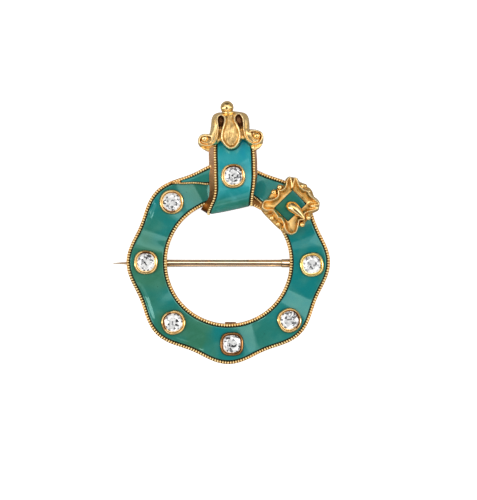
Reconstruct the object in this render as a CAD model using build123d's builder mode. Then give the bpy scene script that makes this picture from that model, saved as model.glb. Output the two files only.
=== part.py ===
# Enamelled belt brooch: a wavy ring of belt with a lapped, pointed tail, held by
# a keeper strap under a leafy terminal and by a ruffled square buckle, with seven
# collet-set stones and a hinged pin behind it.
# The face is up, the origin is under the middle of the whole brooch.

import os
from math import atan2, cos, degrees, radians, sin, tan

from build123d import *

os.makedirs("parts", exist_ok=True)

# Belt sizes, in millimetres and degrees
belt_radius = 13.85
wave_rise = 0.41
wave_count = 8
hole_radius = 8.61
band_thickness = 1.15
tray_depth = 0.62
rim_width = 0.36
underside_height = 1.7
undulation = 0.3
lap_drop = 0.5
tail_thickness = 0.82
tail_tray_depth = 0.45
layer_gap = 0.06
piece_gap = 0.03
enamel_edge_drop = 0.12
enamel_crown = 0.1

band_width = belt_radius - hole_radius
band_middle = (belt_radius + hole_radius) / 2
lap_lift = band_thickness - lap_drop + layer_gap
tail_top = underside_height + undulation + lap_lift + tail_thickness

# Strap sizes
strap_width = 5.6
strap_offset = 0.76
strap_thickness = 0.88
strap_tray_depth = 0.5
strap_left_slope = 0.7
strap_right_slope = 0.42
strap_room = 0.44
strap_stand = 3.45
strap_overhang = 1.51
strap_lean = 11.7
strap_notch_gap = 0.08
strap_peak = tail_top + strap_room + strap_thickness
strap_end = belt_radius + strap_stand
strap_reach = strap_end - hole_radius + strap_overhang
strap_stone_offset = 0.7
strap_stone_share = 0.516

# Stone and setting sizes
stone_shift = 0.33
stone_circle = band_middle + stone_shift
collet_radius = 1.71
collet_body_radius = 1.56
collet_rise = 0.42
collet_height = 1.4
collet_lip = 0.4
girdle_radius = 1.42
girdle_height = 0.08
table_radius = 0.74
crown_height = 0.44
pavilion_depth = 1.0
culet_radius = 0.12
star_slope_share = 0.62
upper_slope_share = 1.14
lower_slope_share = 1.06
collet_foot_wall = 0.64

# Terminal sizes
terminal_offset = -0.48
terminal_half_width = 2.72
terminal_length = 3.6
terminal_depth = 3.1
terminal_sink = 0.25
bead_radius = 0.87
bead_offset = -0.35
bead_stand = 0.91
neck_radius = 0.62
leaf_width = 2.6
leaf_length = 4.2
leaf_overlap = 1.42
leaf_sink = 0.65
leaf_rise = 0.75
leaf_scoop = 0.4
volute_spread = 3.4
volute_overlap = 0.45
volute_tilt = 0.22
volute_ring = 0.72
volute_wire = 0.42
volute_eye = 0.44
arm_sink = 0.9
petal_groove = 0.34
terminal_centre = strap_offset + terminal_offset
terminal_front = strap_peak - terminal_sink
terminal_back = terminal_front - terminal_depth
bead_level = terminal_back + terminal_depth / 2
bead_distance = strap_end + terminal_length + bead_stand

# Buckle sizes
buckle_angle = 42.2
buckle_shift = 0.57
buckle_turn = 2.0
buckle_corner = 4.1
buckle_opening = 2.25
buckle_depth = 1.15
buckle_ball = 0.36
buckle_wall = 0.16
tongue_length = 2.8
tongue_radius = 0.45
tongue_rise = 0.55
tongue_turn = -37
tongue_root_left = 0.41
tongue_root_down = 0.05

# Pin and fitting sizes
pin_offset = -0.14
pin_radius = 0.5
pin_overhang = 1.98
heel_radius = 0.58
heel_flare = 0.04
heel_length = 4.2
point_radius = 0.06
knuckle_radius = 0.8
cheek_length = 0.7
hinge_shift = 0.37
hinge_middle = 1.2
hinge_clearance = 0.05
rivet_radius = 0.35
rivet_head_radius = 0.55
rivet_head_length = 0.2
bore_gap = 0.02
plate_thickness = 0.25
catch_shift = 0.27
catch_length = 2.6
catch_wall = 0.42
catch_gap = 0.06
catch_mouth = 0.2
pin_height = knuckle_radius
pin_reach = belt_radius + wave_rise + pin_overhang
hinge_distance = band_middle + hinge_shift
heel_start = hinge_distance - heel_length
catch_distance = band_middle + catch_shift
taper_start = catch_distance - catch_length / 2 - catch_mouth
lug_width = 1.54
lug_length = 1.7
lug_overhang = 0.2
lug_offset = 0.3

# Where the belt's centre lies, so that the whole brooch is centred on the origin
brooch_top = bead_distance + bead_radius
brooch_bottom = belt_radius + wave_rise
ring_x = (pin_reach - belt_radius - wave_rise) / 2
ring_y = (brooch_bottom - brooch_top) / 2

# Turns of the belt, counted from its hidden end: the tail lies one full turn later
full_turn = 360
wave_turn = full_turn / wave_count
station_step = wave_turn / 4
hidden_end_turn = 5 * station_step
tray_start_turn = 8 * station_step
tail_start_turn = 42 * station_step
tail_shoulder_turn = 478
tail_tip_turn = 482.3
lap_bottom_turn = 125
lap_clear_turn = 158
tail_ramp_turn = 365
tail_clear_turn = 396

# How far the tail's two edges close in, as shares of the band's width
tail_table = [
    {"turn": 405, "inner": 0.00, "outer": 0.00},
    {"turn": 421, "inner": 0.15, "outer": 0.00},
    {"turn": 450, "inner": 0.38, "outer": 0.00},
    {"turn": 464, "inner": 0.50, "outer": 0.00},
    {"turn": 478, "inner": 0.73, "outer": 0.01},
    {"turn": 482.3, "inner": 0.93, "outer": 0.03},
]

# The belt's stones: their angle, and their distance as a share of the stone circle
stone_table = [
    {"name": "upper_left", "angle": 133.1, "distance": 1.002},
    {"name": "left", "angle": 180.0, "distance": 0.997},
    {"name": "lower_left", "angle": 227.7, "distance": 0.986},
    {"name": "bottom", "angle": 272.5, "distance": 0.990},
    {"name": "lower_right", "angle": 316.5, "distance": 1.019},
    {"name": "right", "angle": 358.4, "distance": 1.012},
]


def spot(x, y, z):
    """A point given from the belt's centre, in the brooch's own frame."""
    return Vector(ring_x + x, ring_y + y, z)


def ease(value, start, end):
    """A smooth step from 0 at start to 1 at end."""
    share = min(max((value - start) / (end - start), 0), 1)
    return share * share * (3 - 2 * share)


def tail_share(turn, column):
    """A column of the tail's table at a turn, with straight runs between its rows."""
    if turn <= tail_table[0]["turn"]:
        return tail_table[0][column]
    for low, high in zip(tail_table, tail_table[1:]):
        if turn <= high["turn"]:
            share = (turn - low["turn"]) / (high["turn"] - low["turn"])
            return low[column] + share * (high[column] - low[column])
    return tail_table[-1][column]


def wave(turn):
    """The belt's wave, 1 on a crest and -1 in a valley."""
    return cos(radians(wave_count * turn))


def belt_section(turn):
    """Inner and outer radius, underside and rim top of the belt at a turn."""
    inner = hole_radius + band_width * tail_share(turn, "inner")
    outer = belt_radius + wave_rise * wave(turn) - band_width * tail_share(turn, "outer")
    drop = lap_drop * (1 - ease(turn, lap_bottom_turn, lap_clear_turn))
    lift = ease(turn, tail_ramp_turn, tail_clear_turn)
    base = underside_height + undulation * wave(turn) - drop + lap_lift * lift
    top = base + band_thickness + (tail_thickness - band_thickness) * lift
    return inner, outer, base, top


def tray_depth_at(turn):
    """How deep the enamel's tray is at a turn."""
    lift = ease(turn, tail_ramp_turn, tail_clear_turn)
    return tray_depth + (tail_tray_depth - tray_depth) * lift


def belt_plane(turn):
    """The plane across the belt at a turn, X outwards and Y up."""
    angle = radians(turn)
    return Plane(
        origin=spot(0, 0, 0),
        x_dir=(cos(angle), sin(angle), 0),
        z_dir=(sin(angle), -cos(angle), 0),
    )


def stations(start, end):
    """The turns of the sections from start to end, a quarter of a wave apart."""
    count = round((min(end, tail_start_turn) - start) / station_step)
    turns = [start + index * station_step for index in range(count + 1)]
    return turns + [turn for turn in (tail_shoulder_turn, end) if turn > tail_start_turn]


def rim_top(turn):
    """The height of the belt's rims at a turn."""
    return belt_section(turn)[3]


# Stone places: x, y and the height of the setting's lip
stone_places = {}
for row in stone_table:
    distance = stone_circle * row["distance"]
    angle = radians(row["angle"])
    lip = rim_top(row["angle"]) + collet_rise
    stone_places[row["name"]] = (distance * cos(angle), distance * sin(angle), lip)
strap_stone_y = strap_end - strap_stone_share * strap_reach
stone_places["strap"] = (strap_stone_offset, strap_stone_y, strap_peak + collet_rise)

# The strap's loop seen from its side, from the front's upper end to the back's: how far
# down as shares of its reach, heights as shares of its peak, where its outer face looks
# and its thickness as a share. The rows of the front also give how far each side flares,
# as shares of the width, and each side wall's lean as a share of the full slope.
strap_front = [
    {"down": -0.08, "height": 0.60, "face": 54, "left": 0.00, "right": 0.00, "wall": 1.0, "fold": 1.0},
    {"down": 0.00, "height": 0.69, "face": 58, "left": 0.00, "right": 0.00, "wall": 1.0, "fold": 1.0},
    {"down": 0.14, "height": 0.83, "face": 67, "left": 0.00, "right": 0.01, "wall": 1.0, "fold": 1.0},
    {"down": 0.32, "height": 0.955, "face": 80, "left": -0.01, "right": 0.03, "wall": 1.0, "fold": 1.0},
    {"down": 0.50, "height": 1.00, "face": 91, "left": -0.02, "right": 0.04, "wall": 1.0, "fold": 1.0},
    {"down": 0.67, "height": 0.98, "face": 104, "left": -0.02, "right": 0.03, "wall": 1.0, "fold": 0.8},
    {"down": 0.83, "height": 0.86, "face": 126, "left": 0.06, "right": -0.01, "wall": 1.1, "fold": 0.4},
    {"down": 0.94, "height": 0.66, "face": 155, "left": 0.16, "right": -0.03, "wall": 1.2, "fold": 0.3},
]
strap_curl = [
    {"down": 0.97, "height": 0.43, "face": 188, "thickness": 1.0},
    {"down": 0.95, "height": 0.17, "face": 228, "thickness": 0.9},
    {"down": 0.87, "height": 0.00, "face": 270, "thickness": 0.85},
]
strap_back = [
    {"down": 0.40, "height": 0.00, "face": 270, "thickness": 0.85},
    {"down": 0.20, "height": 0.05, "face": 284, "thickness": 0.85},
    {"down": 0.00, "height": 0.17, "face": 290, "thickness": 0.85},
    {"down": -0.08, "height": 0.22, "face": 292, "thickness": 0.85},
]
strap_stretch = 12
strap_side_margin = 0.6
strap_tray_face_gap = 0.05


def strap_point(row, depth, inset=0):
    """A point of the strap's side view, sunk below the outer face by a share of its
    thickness and by an inset."""
    sunk = depth * strap_thickness * row.get("thickness", 1) + inset
    face = radians(row["face"])
    level = strap_end - strap_reach * row["down"]
    return (ring_y + level - sunk * cos(face), strap_peak * row["height"] - sunk * sin(face))


def strap_limits(row, inset):
    """The polygon across the strap at a row of its front that its sides lie within."""
    level = strap_peak * row["height"]
    foot = level - strap_thickness
    back = -strap_side_margin
    left = strap_offset - strap_width * (0.5 + row["left"]) + inset
    right = strap_offset + strap_width * (0.5 + row["right"]) - inset
    left_lean = strap_left_slope * row["wall"]
    right_lean = strap_right_slope * row["fold"]
    high = level + strap_thickness
    return [
        (left + left_lean, high),
        (left - left_lean, foot),
        (left - left_lean, back),
        (right + right_lean, back),
        (right + right_lean, foot),
        (right - right_lean, high),
    ]


def strap_notch_line(x):
    """How far down the strap's inner face reaches at the bottom of its loop, with a gap."""
    bottom = strap_end - strap_reach * strap_curl[0]["down"]
    return bottom + strap_thickness + strap_notch_gap + tan(radians(strap_lean)) * (x - strap_offset)


def quad(left, right, low, high):
    """The corners of a four-sided profile."""
    return [(left, low), (right, low), (right, high), (left, high)]


# Belt frame: a band with raised rims and a sunk tray, bored for the settings and
# notched where the strap curls under its inner edge
collet_bore = collet_body_radius + piece_gap
with BuildPart() as belt_frame:
    for turn in stations(hidden_end_turn, tail_tip_turn):
        inner, outer, base, top = belt_section(turn)
        with BuildSketch(belt_plane(turn)):
            with BuildLine():
                Polyline(*quad(inner, outer, base, top), close=True)
            make_face()
    loft()
    for turn in stations(tray_start_turn, tail_shoulder_turn)[:-1]:
        inner, outer, base, top = belt_section(turn)
        floor = top - tray_depth_at(turn)
        roof = top + layer_gap / 2
        with BuildSketch(belt_plane(turn)):
            with BuildLine():
                Polyline(*quad(inner + rim_width, outer - rim_width, floor, roof), close=True)
            make_face()
    loft(mode=Mode.SUBTRACT)
    for row in stone_table:
        x, y, lip = stone_places[row["name"]]
        with Locations(spot(x, y, lip - collet_height)):
            Cylinder(collet_bore, 2 * collet_height, mode=Mode.SUBTRACT)
    notch_left = strap_limits(strap_front[-1], -strap_notch_gap)[1][0]
    notch_right = strap_limits(strap_front[-2], -strap_notch_gap)[4][0]
    with BuildSketch():
        with BuildLine():
            Polyline(
                spot(notch_left, hole_radius / 2, 0),
                spot(notch_right, hole_radius / 2, 0),
                spot(notch_right, strap_notch_line(notch_right), 0),
                spot(notch_left, strap_notch_line(notch_left), 0),
                close=True,
            )
        make_face()
    extrude(amount=tail_top, mode=Mode.SUBTRACT)
belt_frame.part.label = "belt_frame"
export_step(belt_frame.part, "parts/belt_frame.step")

# Belt enamel: fills the tray, with a low crown that is flat under the tail
with BuildPart() as belt_enamel:
    end_gap = degrees(piece_gap / hole_radius)
    turns = stations(tray_start_turn, tail_shoulder_turn)[:-1]
    turns = [turns[0] + end_gap] + turns[1:-1] + [turns[-1] - end_gap]
    for turn in turns:
        inner, outer, base, top = belt_section(turn)
        left = inner + rim_width + piece_gap
        right = outer - rim_width - piece_gap
        open_share = ease(turn, lap_bottom_turn, lap_clear_turn)
        crown = top - enamel_edge_drop / 2 + (enamel_crown + enamel_edge_drop / 2) * open_share
        floor = top - tray_depth_at(turn) + piece_gap
        edge = top - enamel_edge_drop
        with BuildSketch(belt_plane(turn)):
            with BuildLine():
                Polyline((left, edge), (left, floor), (right, floor), (right, edge))
                ThreePointArc((right, edge), ((left + right) / 2, crown), (left, edge))
            make_face()
    loft()
    for row in stone_table:
        x, y, lip = stone_places[row["name"]]
        with Locations(spot(x, y, lip - collet_height)):
            Cylinder(collet_bore, 3 * collet_height, mode=Mode.SUBTRACT)
belt_enamel.part.label = "belt_enamel"
export_step(belt_enamel.part, "parts/belt_enamel.step")

# Strap: its side view stretched across the brooch on a lean, then cut to its sides
strap_x, strap_y, strap_lip = stone_places["strap"]
strap_levels = [
    {"row": strap_front[1], "level": strap_end + strap_stretch},
    *({"row": row, "level": strap_end - strap_reach * row["down"]} for row in strap_front[1:]),
    {"row": strap_front[-1], "level": -strap_side_margin},
]
strap_slide = Vector(cos(radians(strap_lean)), sin(radians(strap_lean)), 0)
strap_plane = Plane.YZ.offset(ring_x + strap_offset)
lean_length = strap_stretch / 2
outer_loop = strap_front + strap_curl
strap_end_plane = Plane(origin=spot(0, strap_end, 0), z_dir=(0, 1, 0))
head_face = radians(strap_front[0]["face"])
strap_head = (-sin(head_face), cos(head_face))

# Strap sides: what lies between the two side walls
with BuildPart() as strap_sides:
    for entry in strap_levels:
        with BuildSketch(Plane(origin=spot(0, entry["level"], 0), x_dir=(1, 0, 0), z_dir=(0, -1, 0))):
            with BuildLine():
                Polyline(*strap_limits(entry["row"], 0), close=True)
            make_face()
    loft()

# Strap tray: what lies between the two rims
with BuildPart() as strap_rims:
    for entry in strap_levels:
        with BuildSketch(Plane(origin=spot(0, entry["level"], 0), x_dir=(1, 0, 0), z_dir=(0, -1, 0))):
            with BuildLine():
                Polyline(*strap_limits(entry["row"], rim_width), close=True)
            make_face()
    loft()

with BuildPart() as strap_tray:
    with BuildSketch(strap_plane):
        with BuildLine():
            high = [strap_point(row, 0, -piece_gap) for row in outer_loop[:-1]]
            low = [strap_point(row, 0, strap_tray_depth) for row in outer_loop[:-1]]
            Spline(*high)
            Line(high[-1], low[-1])
            Spline(*reversed(low))
            Line(low[0], high[0])
        make_face()
    extrude(amount=lean_length, dir=strap_slide, both=True)
    add(strap_rims.part, mode=Mode.INTERSECT)

# Strap fill: the layer that the enamel takes up in the tray
with BuildPart() as strap_fill:
    with BuildSketch(strap_plane):
        with BuildLine():
            high = [strap_point(row, 0, strap_tray_face_gap) for row in outer_loop[:-2]]
            low = [strap_point(row, 0, strap_tray_depth - piece_gap) for row in outer_loop[:-2]]
            Spline(*high)
            Line(high[-1], low[-1])
            Spline(*reversed(low))
            Line(low[0], high[0])
        make_face()
    extrude(amount=lean_length, dir=strap_slide, both=True)

# Strap frame: a band bent round the belt, with sloping side walls and a tray
with BuildPart() as strap_frame:
    with BuildSketch(strap_plane):
        with BuildLine():
            outer = [strap_point(row, 0) for row in outer_loop]
            back = [strap_point(row, 0) for row in strap_back]
            inner = [strap_point(row, 1) for row in outer_loop]
            back_inner = [strap_point(row, 1) for row in strap_back]
            Spline(*outer, tangents=(strap_head, (1, 0)))
            Line(outer[-1], back[0])
            Spline(*back)
            Line(back[-1], back_inner[-1])
            Spline(*reversed(back_inner))
            Line(back_inner[0], inner[-1])
            Spline(*reversed(inner), tangents=((-1, 0), (-strap_head[0], -strap_head[1])))
            Line(inner[0], outer[0])
        make_face()
    extrude(amount=lean_length, dir=strap_slide, both=True)
    add(strap_sides.part, mode=Mode.INTERSECT)
    add(strap_tray.part, mode=Mode.SUBTRACT)
    split(bisect_by=strap_end_plane, keep=Keep.BOTTOM)
    with Locations(spot(strap_x, strap_y, strap_lip)):
        Cylinder(collet_bore, 2 * collet_height + strap_thickness, mode=Mode.SUBTRACT)
strap_frame.part.label = "strap_frame"
export_step(strap_frame.part, "parts/strap_frame.step")

# Strap enamel: fills the strap's tray, from the front round most of the curl
with BuildPart() as strap_enamel:
    for entry in strap_levels:
        with BuildSketch(Plane(origin=spot(0, entry["level"], 0), x_dir=(1, 0, 0), z_dir=(0, -1, 0))):
            with BuildLine():
                Polyline(*strap_limits(entry["row"], rim_width + piece_gap), close=True)
            make_face()
    loft()
    add(strap_fill.part, mode=Mode.INTERSECT)
    split(bisect_by=strap_end_plane, keep=Keep.BOTTOM)
    with Locations(spot(strap_x, strap_y, strap_lip)):
        Cylinder(collet_bore, 2 * collet_height, mode=Mode.SUBTRACT)
strap_enamel.part.label = "strap_enamel"
export_step(strap_enamel.part, "parts/strap_enamel.step")

# Stone: an old cut with a small table, a high crown and a blunt point below. Each row
# of facets gives how many there are, how many steps round the first one lies, the
# radius and height that their planes pass through, and their slope.
half_girdle = girdle_height / 2
crown_slope = degrees(atan2(crown_height, girdle_radius - table_radius))
pavilion_slope = degrees(atan2(pavilion_depth, girdle_radius - culet_radius))
star_slope = star_slope_share * crown_slope
upper_slope = upper_slope_share * crown_slope
lower_slope = lower_slope_share * pavilion_slope
table_height = half_girdle + crown_height
crown_rows = [
    {"count": 8, "step": 0.0, "radius": girdle_radius, "height": half_girdle, "slope": crown_slope},
    {"count": 8, "step": 0.5, "radius": table_radius, "height": table_height, "slope": star_slope},
    {"count": 16, "step": 0.5, "radius": girdle_radius, "height": half_girdle, "slope": upper_slope},
]
pavilion_rows = [
    {"count": 8, "step": 0.0, "radius": girdle_radius, "height": half_girdle, "slope": pavilion_slope},
    {"count": 16, "step": 0.5, "radius": girdle_radius, "height": half_girdle, "slope": lower_slope},
]
with BuildPart() as stone:
    with Locations((0, 0, (crown_height - pavilion_depth) / 2)):
        Cylinder(girdle_radius, crown_height + pavilion_depth + girdle_height)
    for side, rows in ((1, crown_rows), (-1, pavilion_rows)):
        for row in rows:
            lean = radians(row["slope"])
            for index in range(row["count"]):
                around = radians(full_turn * (index + row["step"]) / row["count"])
                facet = Plane(
                    origin=(row["radius"] * cos(around), row["radius"] * sin(around), side * row["height"]),
                    z_dir=(sin(lean) * cos(around), sin(lean) * sin(around), side * cos(lean)),
                )
                split(bisect_by=facet, keep=Keep.BOTTOM)

# Setting: an open-backed tube whose rounded lip holds the stone's edge
lip_radius = collet_lip / 2
lip_base = collet_height - lip_radius
seat_top = collet_height - collet_lip
seat_bottom = seat_top - girdle_height - 2 * piece_gap
tube_inner = girdle_radius + piece_gap
setting_body = collet_body_radius - piece_gap
setting_foot = setting_body - collet_foot_wall
with BuildPart() as setting:
    with BuildSketch(Plane.XZ):
        with BuildLine():
            Polyline(
                (setting_foot, 0),
                (setting_body, 0),
                (setting_body, 0.8 * collet_height),
                (collet_radius, lip_base),
            )
            ThreePointArc(
                (collet_radius, lip_base),
                (collet_radius - lip_radius, collet_height),
                (collet_radius - collet_lip, lip_base),
            )
            Polyline(
                (collet_radius - collet_lip, lip_base),
                (tube_inner, seat_top),
                (tube_inner, seat_bottom),
                (setting_foot, 0),
            )
        make_face()
    revolve(axis=Axis.Z)

stone_height = seat_bottom + piece_gap + half_girdle
for name, (x, y, lip) in stone_places.items():
    with BuildPart() as set_stone:
        with Locations(spot(x, y, lip - collet_height + stone_height)):
            add(stone.part)
    set_stone.part.label = f"stone_{name}"
    export_step(set_stone.part, f"parts/stone_{name}.step")
    with BuildPart() as collet:
        with Locations(spot(x, y, lip - collet_height)):
            add(setting.part)
    collet.part.label = f"setting_{name}"
    export_step(collet.part, f"parts/setting_{name}.step")

# Terminal: a cast bud with a scooped leaf, two outward scrolls, a collar and a bead.
# Each row of the bud gives its distance up from the strap's end as a share of the
# bud's length, its half widths to each side as shares, and its height as a share.
bud_table = [
    {"up": 0.00, "left": 0.95, "right": 1.00, "rise": 0.90},
    {"up": 0.22, "left": 0.99, "right": 1.00, "rise": 1.00},
    {"up": 0.50, "left": 0.94, "right": 0.96, "rise": 0.98},
    {"up": 0.76, "left": 0.86, "right": 0.86, "rise": 0.90},
    {"up": 0.93, "left": 0.58, "right": 0.62, "rise": 0.76},
    {"up": 1.00, "left": 0.40, "right": 0.36, "rise": 0.66},
]

# The leaf's outline from its tip up: distance as a share of its length, half width as a
# share of the widest
leaf_table = [
    {"up": 0.00, "half": 0.00},
    {"up": 0.16, "half": 0.72},
    {"up": 0.38, "half": 1.00},
    {"up": 0.70, "half": 0.72},
    {"up": 1.00, "half": 0.50},
]
bud_start = strap_end + piece_gap
bud_depth = terminal_front - terminal_back
with BuildPart() as terminal:
    for row in bud_table:
        left = -terminal_half_width * row["left"]
        right = terminal_half_width * row["right"]
        rise = bud_depth * row["rise"]
        section = Plane(
            origin=spot(terminal_centre, bud_start + terminal_length * row["up"], terminal_back),
            x_dir=(1, 0, 0),
            z_dir=(0, -1, 0),
        )
        with BuildSketch(section):
            with BuildLine():
                Polyline((left, 0.35 * rise), (left, 0), (right, 0), (right, 0.35 * rise))
                ThreePointArc((right, 0.35 * rise), ((left + right) / 2, rise), (left, 0.35 * rise))
            make_face()
    loft()
    leaf_tip_distance = strap_end - leaf_overlap
    leaf_underside = strap_peak - leaf_sink
    with BuildSketch(Plane.XY.offset(leaf_underside)):
        tip = spot(terminal_centre, leaf_tip_distance, 0)
        levels = [tip.Y + leaf_length * row["up"] for row in leaf_table]
        spreads = [leaf_width / 2 * row["half"] for row in leaf_table]
        right = [(tip.X + spread, level) for spread, level in zip(spreads, levels)]
        left = [(tip.X - spread, level) for spread, level in zip(spreads, levels)]
        with BuildLine():
            Spline(*right)
            Line(right[-1], left[-1])
            Spline(*reversed(left))
        make_face()
    extrude(amount=leaf_rise)
    leaf_top = leaf_underside + leaf_rise
    scoop_centre = spot(terminal_centre, leaf_tip_distance + 0.42 * leaf_length, leaf_top)
    scoop_half = Vector(0, 0.34 * leaf_length, 0)
    with BuildSketch(Plane(origin=scoop_centre - scoop_half, z_dir=(0, 1, 0))):
        Circle(0.3 * leaf_scoop)
    with BuildSketch(Plane(origin=scoop_centre, z_dir=(0, 1, 0))):
        Ellipse(0.36 * leaf_width, leaf_scoop)
    with BuildSketch(Plane(origin=scoop_centre + scoop_half, z_dir=(0, 1, 0))):
        Circle(0.3 * leaf_scoop)
    loft(mode=Mode.SUBTRACT)
    for side in (-1, 1):
        groove_x = terminal_centre + side * 0.45 * terminal_half_width
        groove_low = bud_start + 0.2 * terminal_length
        groove_high = bud_start + 0.75 * terminal_length
        groove_foot = spot(groove_x, groove_low, terminal_front - 0.25 * petal_groove)
        groove_head = spot(groove_x, groove_high, terminal_front - petal_groove)
        along = groove_head - groove_foot
        with BuildSketch(Plane(origin=groove_foot, z_dir=along)):
            Circle(0.7 * petal_groove)
        with BuildSketch(Plane(origin=groove_head, z_dir=along)):
            Circle(1.2 * petal_groove)
        loft(mode=Mode.SUBTRACT)
        volute = spot(
            terminal_centre + side * volute_spread,
            strap_end - volute_overlap + side * volute_tilt,
            terminal_front,
        )
        arm_start = spot(
            terminal_centre + side * 0.62 * terminal_half_width,
            bud_start + 0.3 * terminal_length,
            strap_peak - arm_sink,
        )
        with BuildSketch(Plane(origin=arm_start, z_dir=volute - arm_start)):
            Circle(1.8 * volute_wire)
        with BuildSketch(Plane(origin=volute, z_dir=volute - arm_start)):
            Circle(volute_wire)
        loft()
        with Locations(volute):
            Torus(volute_ring, volute_wire)
        with Locations(volute + Vector(0, 0.2 * volute_ring, 0.2 * volute_wire)):
            Sphere(volute_eye)
    bead_x = terminal_centre + bead_offset
    with Locations(Location(spot(bead_x, bead_distance - bead_radius, bead_level), (90, 0, 0))):
        Cylinder(neck_radius, bead_radius)
    with Locations(spot(bead_x, bead_distance, bead_level)):
        Sphere(bead_radius)
terminal.part.label = "terminal"
export_step(terminal.part, "parts/terminal.step")

# Buckle frame: a ruffled square ring with a sharp ridge, a sloping inner wall and
# pairs of small balls at the middle of each side. Each row of the octant gives the
# angle from a corner, and the outer edge and the ridge as shares of the corner.
octant_table = [
    {"angle": 0, "edge": 0.92, "ridge": 0.74},
    {"angle": 9, "edge": 1.00, "ridge": 0.92},
    {"angle": 18, "edge": 0.88, "ridge": 0.78},
    {"angle": 27, "edge": 0.76, "ridge": 0.64},
    {"angle": 36, "edge": 0.73, "ridge": 0.65},
    {"angle": 45, "edge": 0.69, "ridge": 0.61},
]
opening_power = 1.15
ball_angle = 9.7
ball_share = 0.78
buckle_circle = band_middle + buckle_shift
buckle_x = buckle_circle * cos(radians(buckle_angle))
buckle_y = buckle_circle * sin(radians(buckle_angle))
buckle_base = rim_top(full_turn + buckle_angle) + enamel_crown + piece_gap


def around_buckle(column, inset):
    """A closed ring of points round the buckle from one column of its octant table."""
    ring = []
    for corner in range(4):
        for row in octant_table[:-1]:
            ring.append((90 * corner + row["angle"], row[column]))
        for row in octant_table[:0:-1]:
            ring.append((90 * (corner + 1) - row["angle"], row[column]))
    points = []
    for angle, share in ring:
        turned = radians(90 + buckle_turn + angle)
        radius = buckle_corner * share - inset
        place = spot(buckle_x + radius * cos(turned), buckle_y + radius * sin(turned), 0)
        points.append((place.X, place.Y))
    return points


def opening_ring():
    """A closed ring of points round the buckle's opening, at the same angles."""
    points = []
    for index in range(40):
        angle = radians(9 * index)
        spread = abs(cos(angle)) ** opening_power + abs(sin(angle)) ** opening_power
        radius = buckle_opening / spread ** (1 / opening_power)
        turned = angle + radians(90 + buckle_turn)
        place = spot(buckle_x + radius * cos(turned), buckle_y + radius * sin(turned), 0)
        points.append((place.X, place.Y))
    return points


half_wall = buckle_wall / 2
foot_ring = around_buckle("edge", buckle_wall)
shoulder_ring = around_buckle("edge", 0)
slope_ring = around_buckle("ridge", 2.6 * buckle_wall)
ridge_out = around_buckle("ridge", -half_wall)
ridge_in = around_buckle("ridge", half_wall)
buckle_levels = [
    {"up": 0.0, "outer": foot_ring, "inner": opening_ring()},
    {"up": 0.55, "outer": shoulder_ring, "inner": slope_ring},
    {"up": 1.0, "outer": ridge_out, "inner": ridge_in},
]
with BuildPart() as buckle_frame:
    for side, mode in (("outer", Mode.ADD), ("inner", Mode.SUBTRACT)):
        for level in buckle_levels:
            with BuildSketch(Plane.XY.offset(buckle_base + buckle_depth * level["up"])):
                with BuildLine():
                    Polyline(*level[side], close=True)
                make_face()
        loft(ruled=True, mode=mode)
    for corner in range(4):
        for side in (-1, 1):
            turned = radians(45 + 90 * corner + buckle_turn + side * ball_angle)
            radius = ball_share * buckle_corner
            with Locations(
                spot(
                    buckle_x + radius * cos(turned),
                    buckle_y + radius * sin(turned),
                    buckle_base + buckle_depth / 2,
                )
            ):
                Sphere(buckle_ball)
buckle_frame.part.label = "buckle_frame"
export_step(buckle_frame.part, "parts/buckle_frame.step")

# Buckle tongue: a tapering horn that rises from the enamel and bends over to lie on
# the buckle's outer side. Each row gives a place along it, its height, its lean from
# upright and its thickness, the lengths as shares.
tongue_table = [
    {"along": 0.00, "rise": 0.00, "lean": 0, "radius": 0.90},
    {"along": 0.09, "rise": 0.50, "lean": 35, "radius": 1.00},
    {"along": 0.36, "rise": 0.92, "lean": 72, "radius": 0.92},
    {"along": 0.70, "rise": 1.00, "lean": 92, "radius": 0.64},
    {"along": 1.00, "rise": 0.96, "lean": 94, "radius": 0.30},
]
with BuildPart() as buckle_tongue:
    heading = radians(tongue_turn)
    for row in tongue_table:
        reach = tongue_length * row["along"]
        centre = spot(
            buckle_x - tongue_root_left + reach * cos(heading),
            buckle_y - tongue_root_down + reach * sin(heading),
            buckle_base + (buckle_depth + tongue_rise / 2) * row["rise"],
        )
        lean = radians(row["lean"])
        forward = (sin(lean) * cos(heading), sin(lean) * sin(heading), cos(lean))
        with BuildSketch(Plane(origin=centre, x_dir=(-sin(heading), cos(heading), 0), z_dir=forward)):
            Circle(tongue_radius * row["radius"])
    loft()
buckle_tongue.part.label = "buckle_tongue"
export_step(buckle_tongue.part, "parts/buckle_tongue.step")

# Back fittings: their upper faces lie a gap below the belt's underside
fitting_top = underside_height + undulation * cos(radians(wave_count * 5)) - piece_gap

# Pin hinge: a plate with two cheeks that hold the rivet
cheek_middle = hinge_middle / 2 + hinge_clearance + cheek_length / 2
with BuildPart() as pin_hinge:
    with Locations(spot(hinge_distance, pin_offset, fitting_top - plate_thickness / 2)):
        Box(2 * knuckle_radius, 2 * cheek_middle + cheek_length, plate_thickness)
    for side in (-1, 1):
        with BuildSketch(Plane.XZ.offset(-(ring_y + pin_offset + side * cheek_middle - cheek_length / 2))):
            with Locations((ring_x + hinge_distance, pin_height)):
                Circle(knuckle_radius)
                Rectangle(2 * knuckle_radius, fitting_top - pin_height, align=(Align.CENTER, Align.MIN))
                Circle(rivet_radius + bore_gap, mode=Mode.SUBTRACT)
        extrude(amount=-cheek_length)
pin_hinge.part.label = "pin_hinge"
export_step(pin_hinge.part, "parts/pin_hinge.step")

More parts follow.
